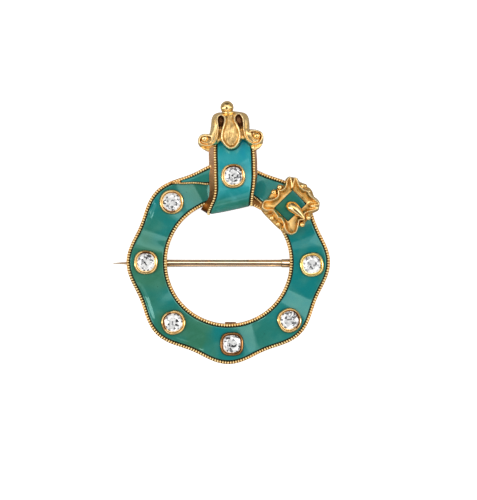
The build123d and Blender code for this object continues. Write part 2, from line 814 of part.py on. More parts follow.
# Hinge rivet: a headed rod through both cheeks and the pin's eye
rivet_half = cheek_middle + cheek_length / 2 + bore_gap
with BuildPart() as hinge_rivet:
    with Locations(Location(spot(hinge_distance, pin_offset, pin_height), (90, 0, 0))):
        Cylinder(rivet_radius, 2 * rivet_half + rivet_head_length)
    for side in (-1, 1):
        middle = pin_offset + side * (rivet_half + rivet_head_length / 2)
        with Locations(Location(spot(hinge_distance, middle, pin_height), (90, 0, 0))):
            Cylinder(rivet_head_radius, rivet_head_length)
hinge_rivet.part.label = "hinge_rivet"
export_step(hinge_rivet.part, "parts/hinge_rivet.step")

# Pin stem: an eye on the rivet, a heel that thickens towards it, a straight wire and a
# long point
with BuildPart() as pin_stem:
    with BuildSketch(Plane.XZ.offset(-(ring_y + pin_offset))):
        with BuildLine():
            axis_start = (ring_x - pin_reach, pin_height)
            axis_end = (ring_x + hinge_distance, pin_height)
            Polyline(
                axis_start,
                (ring_x - pin_reach, pin_height + point_radius),
                (ring_x - taper_start, pin_height + pin_radius),
                (ring_x + heel_start, pin_height + pin_radius),
                (ring_x + heel_start + 2 * (heel_radius - pin_radius), pin_height + heel_radius),
                (ring_x + hinge_distance, pin_height + heel_radius + heel_flare),
                axis_end,
                close=True,
            )
        make_face()
    revolve(axis=Axis((ring_x, ring_y + pin_offset, pin_height), (1, 0, 0)))
    with Locations(Location(spot(hinge_distance, pin_offset, pin_height), (90, 0, 0))):
        Cylinder(knuckle_radius, hinge_middle)
        Cylinder(rivet_radius + hinge_clearance, 2 * hinge_middle, mode=Mode.SUBTRACT)
pin_stem.part.label = "pin_stem"
export_step(pin_stem.part, "parts/pin_stem.step")

# Pin catch: a trough over the pin, open below where the pin swings out
catch_bore = pin_radius + catch_gap
catch_half = catch_bore + catch_wall
with BuildPart() as pin_catch:
    with BuildSketch(Plane.YZ.offset(ring_x - catch_distance - catch_length / 2)):
        with Locations((ring_y + pin_offset, pin_height)):
            Rectangle(2 * catch_half, pin_height, align=(Align.CENTER, Align.MAX))
            Rectangle(2 * catch_half, fitting_top - pin_height, align=(Align.CENTER, Align.MIN))
            Circle(catch_bore, mode=Mode.SUBTRACT)
            Rectangle(2 * catch_bore, 2 * pin_height, align=(Align.CENTER, Align.MAX), mode=Mode.SUBTRACT)
    extrude(amount=catch_length)
pin_catch.part.label = "pin_catch"
export_step(pin_catch.part, "parts/pin_catch.step")

# Back lug: a plain upright plate at the bottom of the hole, and a foot
with BuildPart() as back_lug:
    lug_front = spot(lug_offset, lug_overhang - hole_radius, 0)
    with BuildSketch(Plane.YZ.offset(lug_front.X - lug_width / 2)):
        with Locations((lug_front.Y, 0)):
            Rectangle(lug_length, fitting_top, align=(Align.MAX, Align.MIN))
    extrude(amount=lug_width)
    fillet(back_lug.edges().filter_by(Axis.X).group_by(Axis.Z)[0], lug_length / 4)
back_lug.part.label = "back_lug"
export_step(back_lug.part, "parts/back_lug.step")
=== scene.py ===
"""Dresses the enamelled belt brooch: gold, enamel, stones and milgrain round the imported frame."""

import logging
import math
from dataclasses import dataclass, field
from enum import Enum
from typing import Callable, Sequence

import bmesh
import bpy
import numpy as np
from bpy.types import Material, Node, NodeSocket, NodeTree, Object
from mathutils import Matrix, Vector
from mathutils.geometry import delaunay_2d_cdt


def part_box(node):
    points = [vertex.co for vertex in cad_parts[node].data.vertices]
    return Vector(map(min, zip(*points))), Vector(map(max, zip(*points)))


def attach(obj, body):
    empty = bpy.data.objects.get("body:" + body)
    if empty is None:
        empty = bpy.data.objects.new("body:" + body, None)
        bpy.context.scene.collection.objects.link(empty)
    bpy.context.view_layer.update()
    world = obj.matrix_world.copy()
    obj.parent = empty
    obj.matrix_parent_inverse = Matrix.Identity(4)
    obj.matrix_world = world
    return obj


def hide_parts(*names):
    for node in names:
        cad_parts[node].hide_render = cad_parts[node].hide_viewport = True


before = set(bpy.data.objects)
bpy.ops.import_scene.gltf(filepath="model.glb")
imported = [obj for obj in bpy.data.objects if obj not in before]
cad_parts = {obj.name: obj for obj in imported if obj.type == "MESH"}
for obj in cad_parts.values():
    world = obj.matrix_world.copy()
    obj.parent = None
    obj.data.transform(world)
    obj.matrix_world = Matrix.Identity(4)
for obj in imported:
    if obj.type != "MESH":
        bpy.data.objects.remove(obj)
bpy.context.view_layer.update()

LOG = logging.getLogger("brooch")

# Where a form swells up and where it dies down again.
Span = tuple[tuple[float, float], tuple[float, float]]

# The places and the greys of a ramp.
Stops = tuple[tuple[float, float], ...]

# A millimetre in metres, and the photograph's pixel in millimetres.
MM = 0.001
PIXEL = 0.14

# The photograph's height, its middle and the middle of the belt's ring, in pixels.
PHOTO_HEIGHT = 500
PHOTO_MIDDLE = (238.5, 250.0)
RING_PIXEL = (228.3, 262.3)

# What stands in for a length of nothing that something is divided by.
TINY = 1e-12

# The middle of the belt's ring, which lies a crest's radius above the lowest point of the belt.
BELT_CREST = 14.26
low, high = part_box("belt_frame")
RING_CENTRE = ((low.x + high.x) / 2 / MM, low.y / MM + BELT_CREST)


class Body(Enum):
    """The rigid bodies that a piece can ride on."""

    BROOCH = "brooch"
    PIN = "pin"


class Slot(Enum):
    """The record's material slots."""

    GOLD = "gold"
    PIN_GOLD = "pin_gold"
    ENAMEL = "enamel"
    DIAMOND = "diamond"


class Edge(Enum):
    """The two edges of the belt's ring."""

    INNER = "inner"
    OUTER = "outer"


class Mixing(Enum):
    """How two colours are mixed in a material."""

    BLEND = "MIX"
    MULTIPLY = "MULTIPLY"


def ease(value: np.ndarray, start: float, end: float) -> np.ndarray:
    """Steps smoothly from 0 at the start to 1 at the end."""
    share = np.clip((np.asarray(value, float) - start) / (end - start), 0, 1)
    return share * share * (3 - 2 * share)


def swell(value: np.ndarray, where: Span) -> np.ndarray:
    """Steps smoothly from 0 to 1 over the first pair of places, and back to 0 over the second."""
    return ease(value, *where[0]) * (1 - ease(value, *where[1]))


def smooth_rows(rows: Sequence[Sequence[float]], steps: int) -> np.ndarray:
    """Runs a smooth curve through rows of numbers.

    Args:
        rows: The rows, of any number of columns.
        steps: How many steps lie between two rows.

    Returns:
        The denser rows, with the first and the last kept.
    """
    given = np.array(rows, float)
    padded = np.vstack([2 * given[0] - given[1], given, 2 * given[-1] - given[-2]])
    made = []
    for index in range(1, len(padded) - 2):
        before, here, there, after = padded[index - 1 : index + 3]
        for step in range(steps):
            t = step / steps
            pull = 2 * here + (there - before) * t
            pull = pull + (2 * before - 5 * here + 4 * there - after) * t**2
            pull = pull + (3 * here - before - 3 * there + after) * t**3
            made.append(0.5 * pull)
    made.append(given[-1])
    return np.array(made)


def closed_curve(rows: Sequence[Sequence[float]], steps: int) -> np.ndarray:
    """Runs a smooth closed curve through rows of numbers.

    Args:
        rows: The rows, of any number of columns.
        steps: How many steps lie between two rows.

    Returns:
        The denser rows, once round.
    """
    given = np.array(rows, float)
    wrapped = np.vstack([given[-2:], given, given[:3]])
    return smooth_rows(wrapped, steps)[2 * steps : (2 + len(given)) * steps]


def nearest(
    points: np.ndarray, line: np.ndarray, loop: bool = False
) -> tuple[np.ndarray, np.ndarray]:
    """How far each point lies from a line, and the line's height there.

    Args:
        points: Rows of x and y.
        line: Rows of x, y and, if it has one, a height.
        loop: Whether the line's end joins its start.

    Returns:
        The distances and the heights.
    """
    start = line if loop else line[:-1]
    end = np.roll(line, -1, axis=0) if loop else line[1:]
    run = end[:, :2] - start[:, :2]
    away = points[:, None, :] - start[None, :, :2]
    square = np.maximum((run**2).sum(axis=1), TINY)
    share = np.clip((away * run).sum(axis=2) / square, 0, 1)
    gap = np.linalg.norm(away - share[..., None] * run, axis=2)
    best = gap.argmin(axis=1)
    every = np.arange(len(points))
    if line.shape[1] < 3:
        return gap[every, best], np.zeros(len(points))
    level = start[best, 2] + share[every, best] * (end[best, 2] - start[best, 2])
    return gap[every, best], level


def inside(points: np.ndarray, loop: np.ndarray) -> np.ndarray:
    """Which points lie inside a closed line.

    Args:
        points: Rows of x and y.
        loop: Rows of x and y round the line.

    Returns:
        True for each point inside.
    """
    x, y = points[:, 0][:, None], points[:, 1][:, None]
    start, end = loop, np.roll(loop, -1, axis=0)
    rise = end[:, 1] - start[:, 1]
    rise = np.where(abs(rise) < TINY, TINY, rise)
    crosses = (start[:, 1] > y) != (end[:, 1] > y)
    at = start[:, 0] + (y - start[:, 1]) * (end[:, 0] - start[:, 0]) / rise
    return (crosses & (x < at)).sum(axis=1) % 2 == 1


def ripple(x: np.ndarray, y: np.ndarray, length: float, seed: int) -> np.ndarray:
    """Uneven ground, mostly between -1 and 1.

    Args:
        x: Places across.
        y: Places along.
        length: How far apart its humps lie.
        seed: Which ground it is.

    Returns:
        The ground's height at each place.
    """
    circle = 2 * math.pi
    total = np.zeros(np.shape(x))
    for turn, phase, stretch in np.random.default_rng(seed).uniform(0, 1, (9, 3)):
        angle = circle * turn
        pace = circle / (length * (0.6 + 0.9 * stretch))
        along = x * math.cos(angle) + y * math.sin(angle)
        total = total + np.sin(pace * along + circle * phase)
    return total / 3


def soft_square(angle: np.ndarray, power: float) -> np.ndarray:
    """The radius of a round outline whose four corners swell as the power grows past 2."""
    return (abs(np.cos(angle)) ** power + abs(np.sin(angle)) ** power) ** (-1 / power)


def unit_ball(fine: int) -> tuple[np.ndarray, list[list[int]]]:
    """A round ball of radius 1.

    Args:
        fine: How often its faces are divided.

    Returns:
        Its points and its faces.
    """
    ball = bmesh.new()
    bmesh.ops.create_icosphere(ball, subdivisions=fine, radius=1)
    points = np.array([vertex.co for vertex in ball.verts])
    faces = [[vertex.index for vertex in face.verts] for face in ball.faces]
    ball.free()
    return points, faces


class Draft:
    """A mesh in the making, in millimetres from the belt's centre."""

    def __init__(self) -> None:
        """Starts with nothing."""
        self.points: list[np.ndarray] = []
        self.faces: list[list[int]] = []
        self.count = 0

    def add(self, points: np.ndarray, faces: Sequence[Sequence[int]]) -> None:
        """Adds points and the faces between them.

        Args:
            points: The points, a row of three numbers each.
            faces: Lists of indices into these points.
        """
        shift = self.count
        self.points.append(np.asarray(points, float).reshape(-1, 3))
        self.faces.extend([index + shift for index in face] for face in faces)
        self.count += len(self.points[-1])

    def rings(self, rings: np.ndarray, loop: bool = False) -> None:
        """Adds a skin over closed rings of points.

        Args:
            rings: Rings by points by three numbers.
            loop: Whether the last ring joins the first. If not, both end rings are filled.
        """
        total, sides = rings.shape[:2]
        faces = []
        for ring in range(total if loop else total - 1):
            here, there = ring * sides, (ring + 1) % total * sides
            for side in range(sides):
                other = (side + 1) % sides
                faces.append([here + side, here + other, there + other, there + side])
        if not loop:
            faces.append(list(range(sides))[::-1])
            faces.append([(total - 1) * sides + side for side in range(sides)])
        self.add(rings.reshape(-1, 3), faces)

    def tube(
        self, path: np.ndarray, sides: int, flat: float, up: tuple[float, float, float]
    ) -> None:
        """Adds a tube with closed, rounded ends.

        Args:
            path: Rows of x, y, z and radius.
            sides: How many sides the tube has.
            flat: The tube's height as a share of its width.
            up: Which way the height lies.
        """
        middle, radius = path[:, :3], path[:, 3]
        along = np.gradient(middle, axis=0)
        along /= np.linalg.norm(along, axis=1)[:, None]
        side = np.cross(np.array(up, float), along)
        side /= np.linalg.norm(side, axis=1)[:, None]
        top = np.cross(along, side)
        around = np.linspace(0, 2 * math.pi, sides, endpoint=False)
        across = np.cos(around)[None, :, None] * side[:, None, :]
        across = across + flat * np.sin(around)[None, :, None] * top[:, None, :]
        rings = middle[:, None, :] + across * radius[:, None, None]
        # Two smaller rings round off each end: shares of the radius, for their size and reach.
        rounding = ((0.85, 0.5), (0.45, 0.9))
        ends = []
        for index, sign in ((0, -1), (-1, 1)):
            for share, reach in rounding:
                centre = middle[index] + sign * along[index] * radius[index] * reach
                ends.append(centre + (rings[index] - middle[index]) * share)
        rings = np.vstack([ends[1][None], ends[0][None], rings, ends[2][None], ends[3][None]])
        self.rings(rings)

    def lathe(
        self,
        profile: Sequence[Sequence[float]],
        centre: Sequence[float],
        sides: int,
        power: float,
        turn: float,
    ) -> None:
        """Adds a turned form about an upright axis.

        Args:
            profile: Rows of radius and height, a closed outline.
            centre: Where the axis stands.
            sides: How many sides it has.
            power: 2 for a round form, more for one with four soft corners.
            turn: How far the corners are turned, in degrees.
        """
        around = np.linspace(0, 2 * math.pi, sides, endpoint=False)
        squared = soft_square(around, power)
        squared /= squared.mean()
        angle = around + math.radians(turn)
        rows = np.array(profile, float)
        radius = squared[:, None] * rows[None, :, 0]
        x = centre[0] + radius * np.cos(angle)[:, None]
        y = centre[1] + radius * np.sin(angle)[:, None]
        z = np.broadcast_to(centre[2] + rows[None, :, 1], x.shape)
        self.rings(np.stack([x, y, z], axis=2), loop=True)

    def balls(self, places: Sequence[Sequence[float]], fine: int) -> None:
        """Adds a round ball at each place.

        Args:
            places: Rows of x, y, z and radius.
            fine: How often each ball's faces are divided.
        """
        shape, faces = unit_ball(fine)
        for row in np.asarray(places, float):
            self.add(shape * row[3] + row[:3], faces)

    def beads(self, rows: np.ndarray) -> None:
        """Adds beads that are longer across a rim than along it.

        Args:
            rows: Rows of x, y, z, half width across, half width along, half height and the turn
                that leads across the rim, in degrees.
        """
        shape, faces = unit_ball(2)
        for x, y, z, across, along, tall, turn in rows:
            cosine, sine = math.cos(math.radians(turn)), math.sin(math.radians(turn))
            out, side = shape[:, 0] * across, shape[:, 1] * along
            placed = [
                x + out * cosine - side * sine,
                y + out * sine + side * cosine,
                z + shape[:, 2] * tall,
            ]
            self.add(np.column_stack(placed), faces)

    def make(
        self,
        name: str,
        material: Material,
        body: Body = Body.BROOCH,
        replaces: Sequence[str] = (),
        sharp: float | None = 40,
    ) -> Object:
        """Turns the draft into a piece that rides on its body.

        Args:
            name: The piece's name.
            material: What it is made of.
            body: What it rides on.
            replaces: The solids that it stands for.
            sharp: The angle from which edges stay sharp, or None for flat faces.

        Returns:
            The piece.
        """
        points = np.vstack(self.points)
        points[:, 0] += RING_CENTRE[0]
        points[:, 1] += RING_CENTRE[1]
        mesh = bpy.data.meshes.new(name)
        mesh.from_pydata((points * MM).tolist(), [], self.faces)
        shape = bmesh.new()
        shape.from_mesh(mesh)
        bmesh.ops.recalc_face_normals(shape, faces=shape.faces)
        shape.to_mesh(mesh)
        shape.free()
        mesh.materials.append(material)
        if sharp is not None:
            mesh.shade_smooth()
            mesh.set_sharp_from_angle(angle=math.radians(sharp))
        piece = bpy.data.objects.new(name, mesh)
        bpy.context.scene.collection.objects.link(piece)
        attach(piece, body.value)
        if replaces:
            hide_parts(*replaces)
        LOG.info("%s: %d points, %d faces", name, len(mesh.vertices), len(mesh.polygons))
        return piece


@dataclass
class Relief:
    """A cast form that is fully told by its outline and its height at every place.

    Attributes:
        outline: Rows of x and y round the form.
        spacing: How far apart its points lie.
        hole: Rows of x and y round its opening, if it has one.
        thinnest: The least thickness that is left between its two faces.
        row_share: How far apart rows of even triangles lie, as a share of their sides.
        slack: How close two points may lie before they become one.
    """

    outline: np.ndarray
    spacing: float
    hole: np.ndarray | None = None
    thinnest: float = 0.1
    row_share: float = 0.866
    slack: float = 1e-7

    def skin(self) -> tuple[np.ndarray, np.ndarray]:
        """Covers the outline with small triangles.

        Returns:
            The points, as rows of x and y, and the triangles.
        """
        low_corner, high_corner = self.outline.min(axis=0), self.outline.max(axis=0)
        x = np.arange(low_corner[0], high_corner[0], self.spacing)
        y = np.arange(low_corner[1], high_corner[1], self.row_share * self.spacing)
        grid = np.stack(np.meshgrid(x, y), axis=-1)
        grid[1::2, :, 0] += self.spacing / 2
        grid = grid.reshape(-1, 2)
        loops = [self.outline] if self.hole is None else [self.outline, self.hole]
        kept = inside(grid, self.outline)
        if self.hole is not None:
            kept &= ~inside(grid, self.hole)
        grid = grid[kept]
        for loop in loops:
            grid = grid[nearest(grid, loop, loop=True)[0] > 0.5 * self.spacing]
        edges, first = [], 0
        for loop in loops:
            count = len(loop)
            edges += [(first + index, first + (index + 1) % count) for index in range(count)]
            first += count
        corners = [Vector(point) for point in np.vstack([*loops, grid])]
        found = delaunay_2d_cdt(corners, edges, [], 0, self.slack)
        points = np.array([tuple(point) for point in found[0]])
        triangles = np.array([face for face in found[2] if len(face) == 3])
        middle = points[triangles].mean(axis=1)
        kept = inside(middle, self.outline)
        if self.hole is not None:
            kept &= ~inside(middle, self.hole)
        return points, triangles[kept]

    def fill(
        self,
        draft: Draft,
        height: Callable[[np.ndarray], np.ndarray],
        under: Callable[[np.ndarray], np.ndarray],
    ) -> None:
        """Adds the form to a draft.

        Args:
            draft: The mesh in the making.
            height: Gives the upper face's height at rows of x and y.
            under: Gives the lower face's height at rows of x and y.
        """
        points, triangles = self.skin()
        count = len(points)
        top = height(points)
        foot = np.minimum(under(points), top - self.thinnest)
        sides = {(int(a), int(b)) for face in triangles for a, b in zip(face, np.roll(face, -1))}
        walls = [[a, a + count, b + count, b] for a, b in sides if (b, a) not in sides]
        faces = triangles.tolist() + (triangles[:, ::-1] + count).tolist() + walls
        upper, lower = np.column_stack([points, top]), np.column_stack([points, foot])
        draft.add(np.vstack([upper, lower]), faces)


def paint_sides(
    piece: Object, material: Material, sides: int, painted: set[int]
) -> None:
    """Gives some of the long sides of a swept form a second material.

    Args:
        piece: The swept form.
        material: The second material.
        sides: How many sides the form has.
        painted: The numbers of the painted sides.
    """
    piece.data.materials.append(material)
    shades = np.zeros(len(piece.data.polygons), dtype=np.int32)
    piece.data.polygons.foreach_get("material_index", shades)
    side = np.arange(len(shades)) % sides
    swept = np.arange(len(shades)) < len(shades) // sides * sides
    shades[np.isin(side, list(painted)) & swept] = len(piece.data.materials) - 1
    piece.data.polygons.foreach_set("material_index", shades)


def add_ramp(tree: NodeTree, factor: NodeSocket, stops: Sequence[tuple]) -> NodeSocket:
    """Adds a colour ramp to a material or a world.

    Args:
        tree: Its nodes.
        factor: What runs along the ramp.
        stops: Pairs of a place and a colour or a grey.

    Returns:
        The ramp's colour output.
    """
    made = tree.nodes.new("ShaderNodeValToRGB")
    tree.links.new(factor, made.inputs["Fac"])
    elements = made.color_ramp.elements
    while len(elements) < len(stops):
        elements.new(0.5)
    for element, (place, colour) in zip(elements, stops):
        shade = colour if isinstance(colour, tuple) else (colour, colour, colour)
        element.position = place
        element.color = (*shade, 1)
    return made.outputs["Color"]


def face_places(piece: Object) -> tuple[np.ndarray, np.ndarray]:
    """Where a piece's faces lie, from the belt's centre.

    Args:
        piece: The piece.

    Returns:
        Rows of x and y in millimetres, and the heights.
    """
    centres = np.zeros(3 * len(piece.data.polygons))
    piece.data.polygons.foreach_get("center", centres)
    centres = centres.reshape(-1, 3) / MM
    return centres[:, :2] - np.array(RING_CENTRE), centres[:, 2]


def paint_faces(piece: Object, materials: Sequence[Material], shades: np.ndarray) -> None:
    """Gives each face of a piece one of several materials.

    Args:
        piece: The piece, which has its first material.
        materials: The further materials.
        shades: For each face 0 for the first material, or the number of a further one.
    """
    for material in materials:
        piece.data.materials.append(material)
    piece.data.polygons.foreach_set("material_index", shades.astype(np.int32))


class Board:
    """A material's nodes, with short calls to add and join them."""

    def __init__(self, name: str) -> None:
        """Starts a material with a surface shader and object coordinates.

        Args:
            name: The material's name.
        """
        self.material = bpy.data.materials.new(name)
        self.material.use_nodes = True
        self.tree = self.material.node_tree
        self.surface = self.tree.nodes["Principled BSDF"]
        self.place = self.tree.nodes.new("ShaderNodeTexCoord").outputs["Object"]

    def node(self, kind: str, **inputs: object) -> Node:
        """Adds a node and fills its inputs.

        Args:
            kind: The node's type.
            inputs: Values or outputs by input name, with _ for a space.

        Returns:
            The node.
        """
        made = self.tree.nodes.new(kind)
        for name, value in inputs.items():
            self.put(made.inputs[name.replace("_", " ")], value)
        return made

    def put(self, socket: NodeSocket, value: object) -> None:
        """Joins an output to an input, or sets the input's value.

        Args:
            socket: The input.
            value: The output or the value.
        """
        if isinstance(value, NodeSocket):
            self.tree.links.new(value, socket)
        else:
            socket.default_value = value

    def noise(self, scale: float, detail: float = 3, distortion: float = 0) -> NodeSocket:
        """Adds cloudy noise.

        Args:
            scale: How many clouds lie in a metre.
            detail: How many finer layers it has.
            distortion: How much it swirls.

        Returns:
            Its output, 0 to 1.
        """
        made = self.node(
            "ShaderNodeTexNoise",
            Vector=self.place,
            Scale=scale,
            Detail=detail,
            Distortion=distortion,
        )
        return made.outputs["Fac"]

    def ramp(self, factor: NodeSocket, stops: Sequence[tuple]) -> NodeSocket:
        """Adds a colour ramp, from pairs of a place and a colour or a grey."""
        return add_ramp(self.tree, factor, stops)

    def blend(
        self, factor: object, first: object, second: object, kind: Mixing = Mixing.BLEND
    ) -> NodeSocket:
        """Mixes two colours.

        Args:
            factor: How much of the second.
            first: The first colour.
            second: The second colour.
            kind: How they are mixed.

        Returns:
            The mixed colour.
        """
        made = self.tree.nodes.new("ShaderNodeMix")
        made.data_type = "RGBA"
        made.blend_type = kind.value
        # A colour mix has its factor, its two colours and its result at these sockets.
        for index, value in ((0, factor), (6, first), (7, second)):
            self.put(made.inputs[index], (*value, 1) if isinstance(value, tuple) else value)
        return made.outputs[2]

    def fade(self, start: float, end: float) -> NodeSocket:
        """Runs from 0 to 1 between two places along the object's y.

        Args:
            start: Where it is 0, in millimetres from the belt's centre.
            end: Where it is 1.

        Returns:
            The share's output.
        """
        along = self.node("ShaderNodeSeparateXYZ", Vector=self.place).outputs["Y"]
        first, last = ((value + RING_CENTRE[1]) * MM for value in (start, end))
        made = self.node("ShaderNodeMapRange", Value=along, From_Min=first, From_Max=last)
        return made.outputs["Result"]

    def bump(self, height: NodeSocket, depth: float) -> None:
        """Roughens the surface by a height from 0 to 1, with its full depth in metres."""
        made = self.node("ShaderNodeBump", Height=height, Distance=depth, Strength=1.0)
        self.put(self.surface.inputs["Normal"], made.outputs["Normal"])

    def dress(self, **inputs: object) -> None:
        """Fills inputs of the surface shader, named with _ for a space."""
        for name, value in inputs.items():
            self.put(self.surface.inputs[name.replace("_", " ")], value)


@dataclass(frozen=True)
class GoldFinish:
    """Worn yellow gold: a bright polish, with painted shade and some dirt in its recesses.

    Attributes:
        bright: Its colour where it is worn bright.
        deep: Its colour in the clouds between.
        recess: The colour of the painted shade, with some dirt, in corners and hollows.
        roughness: How dull it is. Wear makes it 0.7 to 1.6 times that.
        grain_scale: How many grains lie in a metre.
        grain_depth: How deep the grain is, in metres.
        cloud_scale: How many clouds of the deep colour lie in a metre.
        wear_scale: How many worn spots lie in a metre.
        recess_reach: How far off a wall still darkens a face, in metres.
        recess_start: How open a face is, as a share, where the recess colour starts to give way.
        recess_end: How open it is where that colour has gone.
        recess_rays: How many rays find out how open it is.
        glow: How strongly it shines of itself, a painted glow.
        foot: Its colour towards the lower end of the brooch, where that differs.
        foot_places: Where that colour starts and where it is full, in millimetres above the
            middle of the belt's ring.
        stripe: How much light is left in a painted dark reflection along a bar, or 1 for none.
    """

    name: str
    bright: tuple[float, float, float] = (1.0, 0.73, 0.35)
    deep: tuple[float, float, float] = (0.91, 0.58, 0.2)
    recess: tuple[float, float, float] = (0.2, 0.085, 0.015)
    roughness: float = 0.26
    grain_scale: float = 5200
    grain_depth: float = 0.000003
    cloud_scale: float = 1100
    wear_scale: float = 2600
    recess_reach: float = 0.0007
    recess_start: float = 0.12
    recess_end: float = 0.55
    recess_rays: int = 8
    glow: float = 0.0
    foot: tuple[float, float, float] | None = None
    foot_places: tuple[float, float] = (15.5, 8.2)
    stripe: float = 1.0

    def build(self) -> Material:
        """Makes the material.

        Returns:
            The material.
        """
        board = Board(self.name)
        clouds = board.ramp(board.noise(self.cloud_scale, 4), [(0.35, 0.0), (0.68, 1.0)])
        colour = board.blend(clouds, self.bright, self.deep)
        # A darker foot is painted shade, where the strap's walls turn under.
        if self.foot is not None:
            colour = board.blend(board.fade(*self.foot_places), colour, self.foot)
        # The dark line along a bar is a painted reflection.
        if self.stripe < 1:
            colour = board.blend(1.0, colour, self.painted_reflection_line(board), Mixing.MULTIPLY)
        # Painted shade, with some dirt: faces close to walls take the recess colour.
        hollow = board.node("ShaderNodeAmbientOcclusion", Distance=self.recess_reach)
        hollow.samples = self.recess_rays
        open_stops = [(self.recess_start, 0.0), (self.recess_end, 1.0)]
        colour = board.blend(board.ramp(hollow.outputs["AO"], open_stops), self.recess, colour)
        wear_stops = [(0.3, self.roughness * 0.7), (0.75, self.roughness * 1.6)]
        # The emission is a painted glow, where glow is set.
        board.dress(
            Base_Color=colour,
            Emission_Color=colour,
            Emission_Strength=self.glow,
            Metallic=1.0,
            Roughness=board.ramp(board.noise(self.wear_scale, 5), wear_stops),
        )
        board.bump(board.noise(self.grain_scale, 4), self.grain_depth)
        return board.material

    def painted_reflection_line(self, board: Board) -> NodeSocket:
        """Paints a dark reflection on a bar's faces that lean a little towards the brooch's lower
        end.

        Args:
            board: The material's nodes.

        Returns:
            How much light is left on each face.
        """
        facing = board.tree.nodes.new("ShaderNodeTexCoord").outputs["Normal"]
        lean = board.node("ShaderNodeSeparateXYZ", Vector=facing).outputs["Y"]
        level = board.node("ShaderNodeMapRange", Value=lean, From_Min=-1.0, From_Max=1.0)
        stops = [(0.24, 1.0), (0.3, self.stripe), (0.46, self.stripe), (0.5, 1.0)]
        return board.ramp(level.outputs["Result"], stops)


@dataclass(frozen=True)
class EnamelFinish:
    """Glassy enamel over gold: deep colour with cloudy drift, a few pits and a hard gloss.

    Attributes:
        base: Its colour before the firing drifted it.
        drifted: The colour that it drifts to.
        pale: The colour of its paler clouds.
        pit_colour: The colour in its pits.
        gloss_tint: The colour of its reflections.
        roughness: How dull its gloss is.
        ior: How strongly it bends light.
        drift_scale: How many drifts lie in a metre.
        cloud_scale: How many pale clouds lie in a metre.
        grain_scale: How many grains lie in a metre.
        ripple_scale: How many ripples lie in a metre.
        ripple: How deep the ripples are, in metres.
        pit_scale: How many cells lie in a metre, of which a few hold a pit.
        pit_share: The share of cells that hold one.
        corner_reach: How far off the rim the painted shade reaches, in metres.
        corner_rays: How many rays find out how near the rim is.
        foot: Its colour towards the lower end of the brooch, where that differs.
        foot_places: Where that colour starts and where it is full, in millimetres above the
            middle of the belt's ring.
    """

    name: str
    base: tuple[float, float, float] = (0.034, 0.18, 0.105)
    drifted: tuple[float, float, float] = (0.006, 0.2, 0.2)
    pale: tuple[float, float, float] = (0.08, 0.29, 0.22)
    pit_colour: tuple[float, float, float] = (0.01, 0.03, 0.025)
    gloss_tint: tuple[float, float, float] = (0.55, 1.0, 0.92)
    roughness: float = 0.07
    ior: float = 1.56
    drift_scale: float = 130
    cloud_scale: float = 420
    grain_scale: float = 9000
    ripple_scale: float = 330
    ripple: float = 0.00002
    pit_scale: float = 1000
    pit_share: float = 0.12
    corner_reach: float = 0.0003
    corner_rays: int = 12
    foot: tuple[float, float, float] | None = None
    foot_places: tuple[float, float] = (10.9, 8.4)

    def build(self) -> Material:
        """Makes the material.

        Returns:
            The material.
        """
        board = Board(self.name)
        drift = board.ramp(board.noise(self.drift_scale, 2, 0.6), [(0.38, 0.0), (0.62, 1.0)])
        colour = board.blend(drift, self.base, self.drifted)
        if self.foot is not None:
            colour = board.blend(board.fade(*self.foot_places), colour, self.foot)
        cloud = board.ramp(board.noise(self.cloud_scale, 4, 0.4), [(0.45, 0.0), (0.8, 0.55)])
        colour = board.blend(cloud, colour, self.pale)
        grain = board.ramp(board.noise(self.grain_scale, 2), [(0.3, 0.9), (0.7, 1.06)])
        colour = board.blend(1.0, colour, grain, Mixing.MULTIPLY)
        colour = board.blend(self.pits(board), colour, self.pit_colour)
        # Painted shade: the enamel darkens near the rims and collets.
        corner = board.node("ShaderNodeAmbientOcclusion", Distance=self.corner_reach)
        corner.samples = self.corner_rays
        shade = board.ramp(corner.outputs["AO"], [(0.45, 0.08), (0.85, 1.0)])
        board.dress(
            Base_Color=board.blend(1.0, colour, shade, Mixing.MULTIPLY),
            Roughness=self.roughness,
            IOR=self.ior,
            Specular_Tint=(*self.gloss_tint, 1),
        )
        board.bump(board.noise(self.ripple_scale, 2), self.ripple)
        return board.material

    def pits(self, board: Board) -> NodeSocket:
        """Strews a few small pits.

        Args:
            board: The material's nodes.

        Returns:
            1 in a pit and 0 beside it.
        """
        cells = board.node("ShaderNodeTexVoronoi", Vector=board.place, Scale=self.pit_scale)
        chance = board.node("ShaderNodeSeparateColor", Color=cells.outputs["Color"]).outputs["Red"]
        rare = board.ramp(chance, [(self.pit_share, 1.0), (self.pit_share + 0.01, 0.0)])
        small = board.ramp(cells.outputs["Distance"], [(0.05, 0.8), (0.09, 0.0)])
        return board.blend(1.0, rare, small, Mixing.MULTIPLY)


@dataclass(frozen=True)
class ShadeFinish:
    """Painted shade: a dull dark colour for the strips where enamel meets gold."""

    name: str
    colour: tuple[float, float, float] = (0.008, 0.022, 0.008)
    roughness: float = 0.6
    specular: float = 0.2
    mottle_scale: float = 4000

    def build(self) -> Material:
        """Makes the material.

        Returns:
            The material.
        """
        board = Board(self.name)
        mottle = board.ramp(board.noise(self.mottle_scale), [(0.3, 0.6), (0.7, 1.3)])
        board.dress(
            Base_Color=board.blend(1.0, self.colour, mottle, Mixing.MULTIPLY),
            Roughness=self.roughness,
            Specular_IOR_Level=self.specular,
        )
        return board.material


